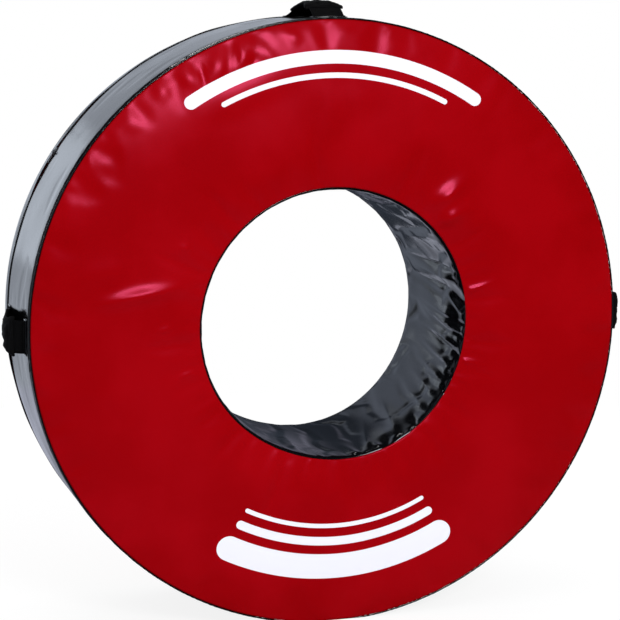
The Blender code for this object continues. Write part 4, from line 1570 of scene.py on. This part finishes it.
GRAIN = grain_group()
STRIPE = stripe_group()
RED_PRINTED = vinyl("printed_red_vinyl", RED, PRINT)
RED_PLAIN = vinyl("red_vinyl", RED)
BLACK_VINYL = vinyl("black_vinyl", BLACK)
SLEEVE_VINYL = vinyl("sleeve_vinyl", SLEEVE_BLACK)
PIPING = vinyl("piping_vinyl", PIPING_BLACK)
WEBBING = webbing()
GRIP_NYLON = woven("grip_nylon")
ZIP_TAPE = woven("zip_tape")
THREAD = woven("black_thread")
TEETH = woven("zip_teeth")
FOAM = foam()
METAL = metal()


# Studio


def add_facing(name, data, place, direction):
    """A camera or lamp at a place, which faces a direction."""
    made = bpy.data.objects.new(name, data)
    made.location = place
    made.rotation_mode = "QUATERNION"
    made.rotation_quaternion = direction.to_track_quat("-Z", "Y")
    bpy.context.scene.collection.objects.link(made)
    return made


def make_camera():
    """The camera, at the photograph's viewing angle."""
    back = Vector((
        math.sin(CAMERA_AZIMUTH) * math.cos(CAMERA_ELEVATION),
        -math.cos(CAMERA_AZIMUTH) * math.cos(CAMERA_ELEVATION),
        math.sin(CAMERA_ELEVATION),
    ))
    data = bpy.data.cameras.new("camera")
    data.sensor_width = CAMERA_SENSOR
    data.lens = CAMERA_LENS
    data.shift_x, data.shift_y = CAMERA_SHIFT
    place = AXIS + CAMERA_OFFSET + back * CAMERA_DISTANCE
    bpy.context.scene.camera = add_facing("camera", data, place, -back)


def seen_directly(tree):
    """1 for a camera ray, and 1 for a glossy or transmission ray."""
    path = tree.nodes.new("ShaderNodeLightPath")
    glossy, through = path.outputs["Is Glossy Ray"], path.outputs["Is Transmission Ray"]
    return path.outputs["Is Camera Ray"], maths(tree, "MAXIMUM", glossy, through)


def make_world():
    """A white backdrop behind, a dark studio in front, and soft light from all round."""
    world = bpy.data.worlds.new("studio")
    bpy.context.scene.world = world
    world.use_nodes = True
    tree = world.node_tree
    tree.nodes.clear()
    camera_ray, gloss = seen_directly(tree)
    place = tree.nodes.new("ShaderNodeTexCoord")
    split = add_node(tree, "ShaderNodeSeparateXYZ", {0: place.outputs["Generated"]})
    studio = blended(tree, ranged(tree, split.outputs["Y"], *BACK_RANGE), DARK_STUDIO, BACK_GREY)
    for side_range in (LEFT_RANGE, RIGHT_RANGE):
        studio = blended(tree, ranged(tree, split.outputs["X"], *side_range), studio, SIDE_GREY)
    sky = blended(tree, ranged(tree, split.outputs["Z"], *SKY_RANGE), SKY_LOW, SKY_HIGH)
    soft = blended(tree, gloss, sky, studio)
    seen = blended(tree, camera_ray, soft, SEEN_WHITE)
    background = add_node(tree, "ShaderNodeBackground", {"Color": seen})
    output = tree.nodes.new("ShaderNodeOutputWorld")
    tree.links.new(background.outputs[0], output.inputs[0])


def add_softbox(name, lamp):
    """An area lamp of an even radiance, which faces a point."""
    data = bpy.data.lights.new(name, "AREA")
    data.shape = "RECTANGLE"
    data.size = lamp.width
    data.size_y = lamp.height
    data.energy = lamp.radiance * lamp.width * lamp.height * math.pi
    data.color = lamp.tint
    softbox = add_facing(name, data, lamp.place, Vector(lamp.aim) - Vector(lamp.place))
    softbox.visible_camera = False


def make_floor():
    """A pale floor that looks white to the camera and keeps the ring's shadow."""
    bm = bmesh.new()
    bmesh.ops.create_circle(bm, cap_ends=True, segments=FLOOR_STEPS, radius=FLOOR_RADIUS)
    material, tree, shader, place = start_material("pale_floor")
    shader.inputs["Base Color"].default_value = FLOOR_COLOUR
    shader.inputs["Roughness"].default_value = FLOOR_ROUGHNESS
    shader.inputs["Specular IOR Level"].default_value = 0.0
    camera_ray, gloss = seen_directly(tree)
    split = add_node(tree, "ShaderNodeSeparateXYZ", {0: place})
    behind = ranged(tree, split.outputs["Y"], *FLOOR_RANGE)
    pale = blended(tree, behind, DARK_STUDIO, FLOOR_GREY)
    colour = blended(tree, gloss, FLOOR_WHITE, pale)
    share = maths(tree, "MAXIMUM", maths(tree, "MULTIPLY", camera_ray, FLOOR_WHITE_SHARE), gloss)
    white = add_node(tree, "ShaderNodeEmission", {"Color": colour})
    mix = tree.nodes.new("ShaderNodeMixShader")
    tree.links.new(share, mix.inputs[0])
    tree.links.new(shader.outputs[0], mix.inputs[1])
    tree.links.new(white.outputs[0], mix.inputs[2])
    tree.links.new(mix.outputs[0], tree.nodes["Material Output"].inputs["Surface"])
    floor = add_piece("floor", bm, material)
    floor.location.z = -FLOOR_DROP


def add_card(name, card):
    """A card that stands behind the ring, seen only in reflections, shaded from left to right."""
    bm = bmesh.new()
    bmesh.ops.create_grid(bm, x_segments=1, y_segments=1, size=0.5)
    bmesh.ops.scale(bm, vec=(card.width, card.height, 1.0), verts=bm.verts)
    material, tree, _, place = start_material(name)
    across = add_node(tree, "ShaderNodeSeparateXYZ", {0: place}).outputs["X"]
    share = ranged(tree, across, *(card.width * share for share in CARD_FADE_SHARES))
    far_share = ranged(tree, across, *(card.width * share for share in CARD_FAR_FADE_SHARES))
    shaded = blended(tree, far_share, blended(tree, share, card.left, card.right), card.far)
    grey = add_node(tree, "ShaderNodeEmission", {"Color": shaded})
    tree.links.new(grey.outputs[0], tree.nodes["Material Output"].inputs["Surface"])
    panel = add_piece(name, bm, material)
    panel.rotation_euler = (math.radians(90.0), 0.0, 0.0)
    panel.location = card.place
    panel.visible_camera = False
    panel.visible_diffuse = False
    panel.visible_shadow = False
    panel.visible_transmission = False


def finish_nodes():
    """Gives each CAD solid that still shows its own finish."""
    finishes = {
        "zip_front_tape": ZIP_TAPE,
        "zip_rear_tape": ZIP_TAPE,
        "closure_strip": ZIP_TAPE,
        "zip_slider": METAL,
        "zip_pull": METAL,
        "zip_top_stop": METAL,
        "zip_end_stop": METAL,
    }
    for name, material in finishes.items():
        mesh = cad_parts[name].data
        mesh.materials.clear()
        mesh.materials.append(material)


make_camera()
make_world()
make_floor()
for name, card in CARDS.items():
    add_card(name, card)
for name, lamp in LAMPS.items():
    add_softbox(name, lamp)
make_cover()
make_foam()
make_beads()
make_teeth()
make_handles()
finish_nodes()

bpy.context.scene.view_settings.view_transform = "Standard"
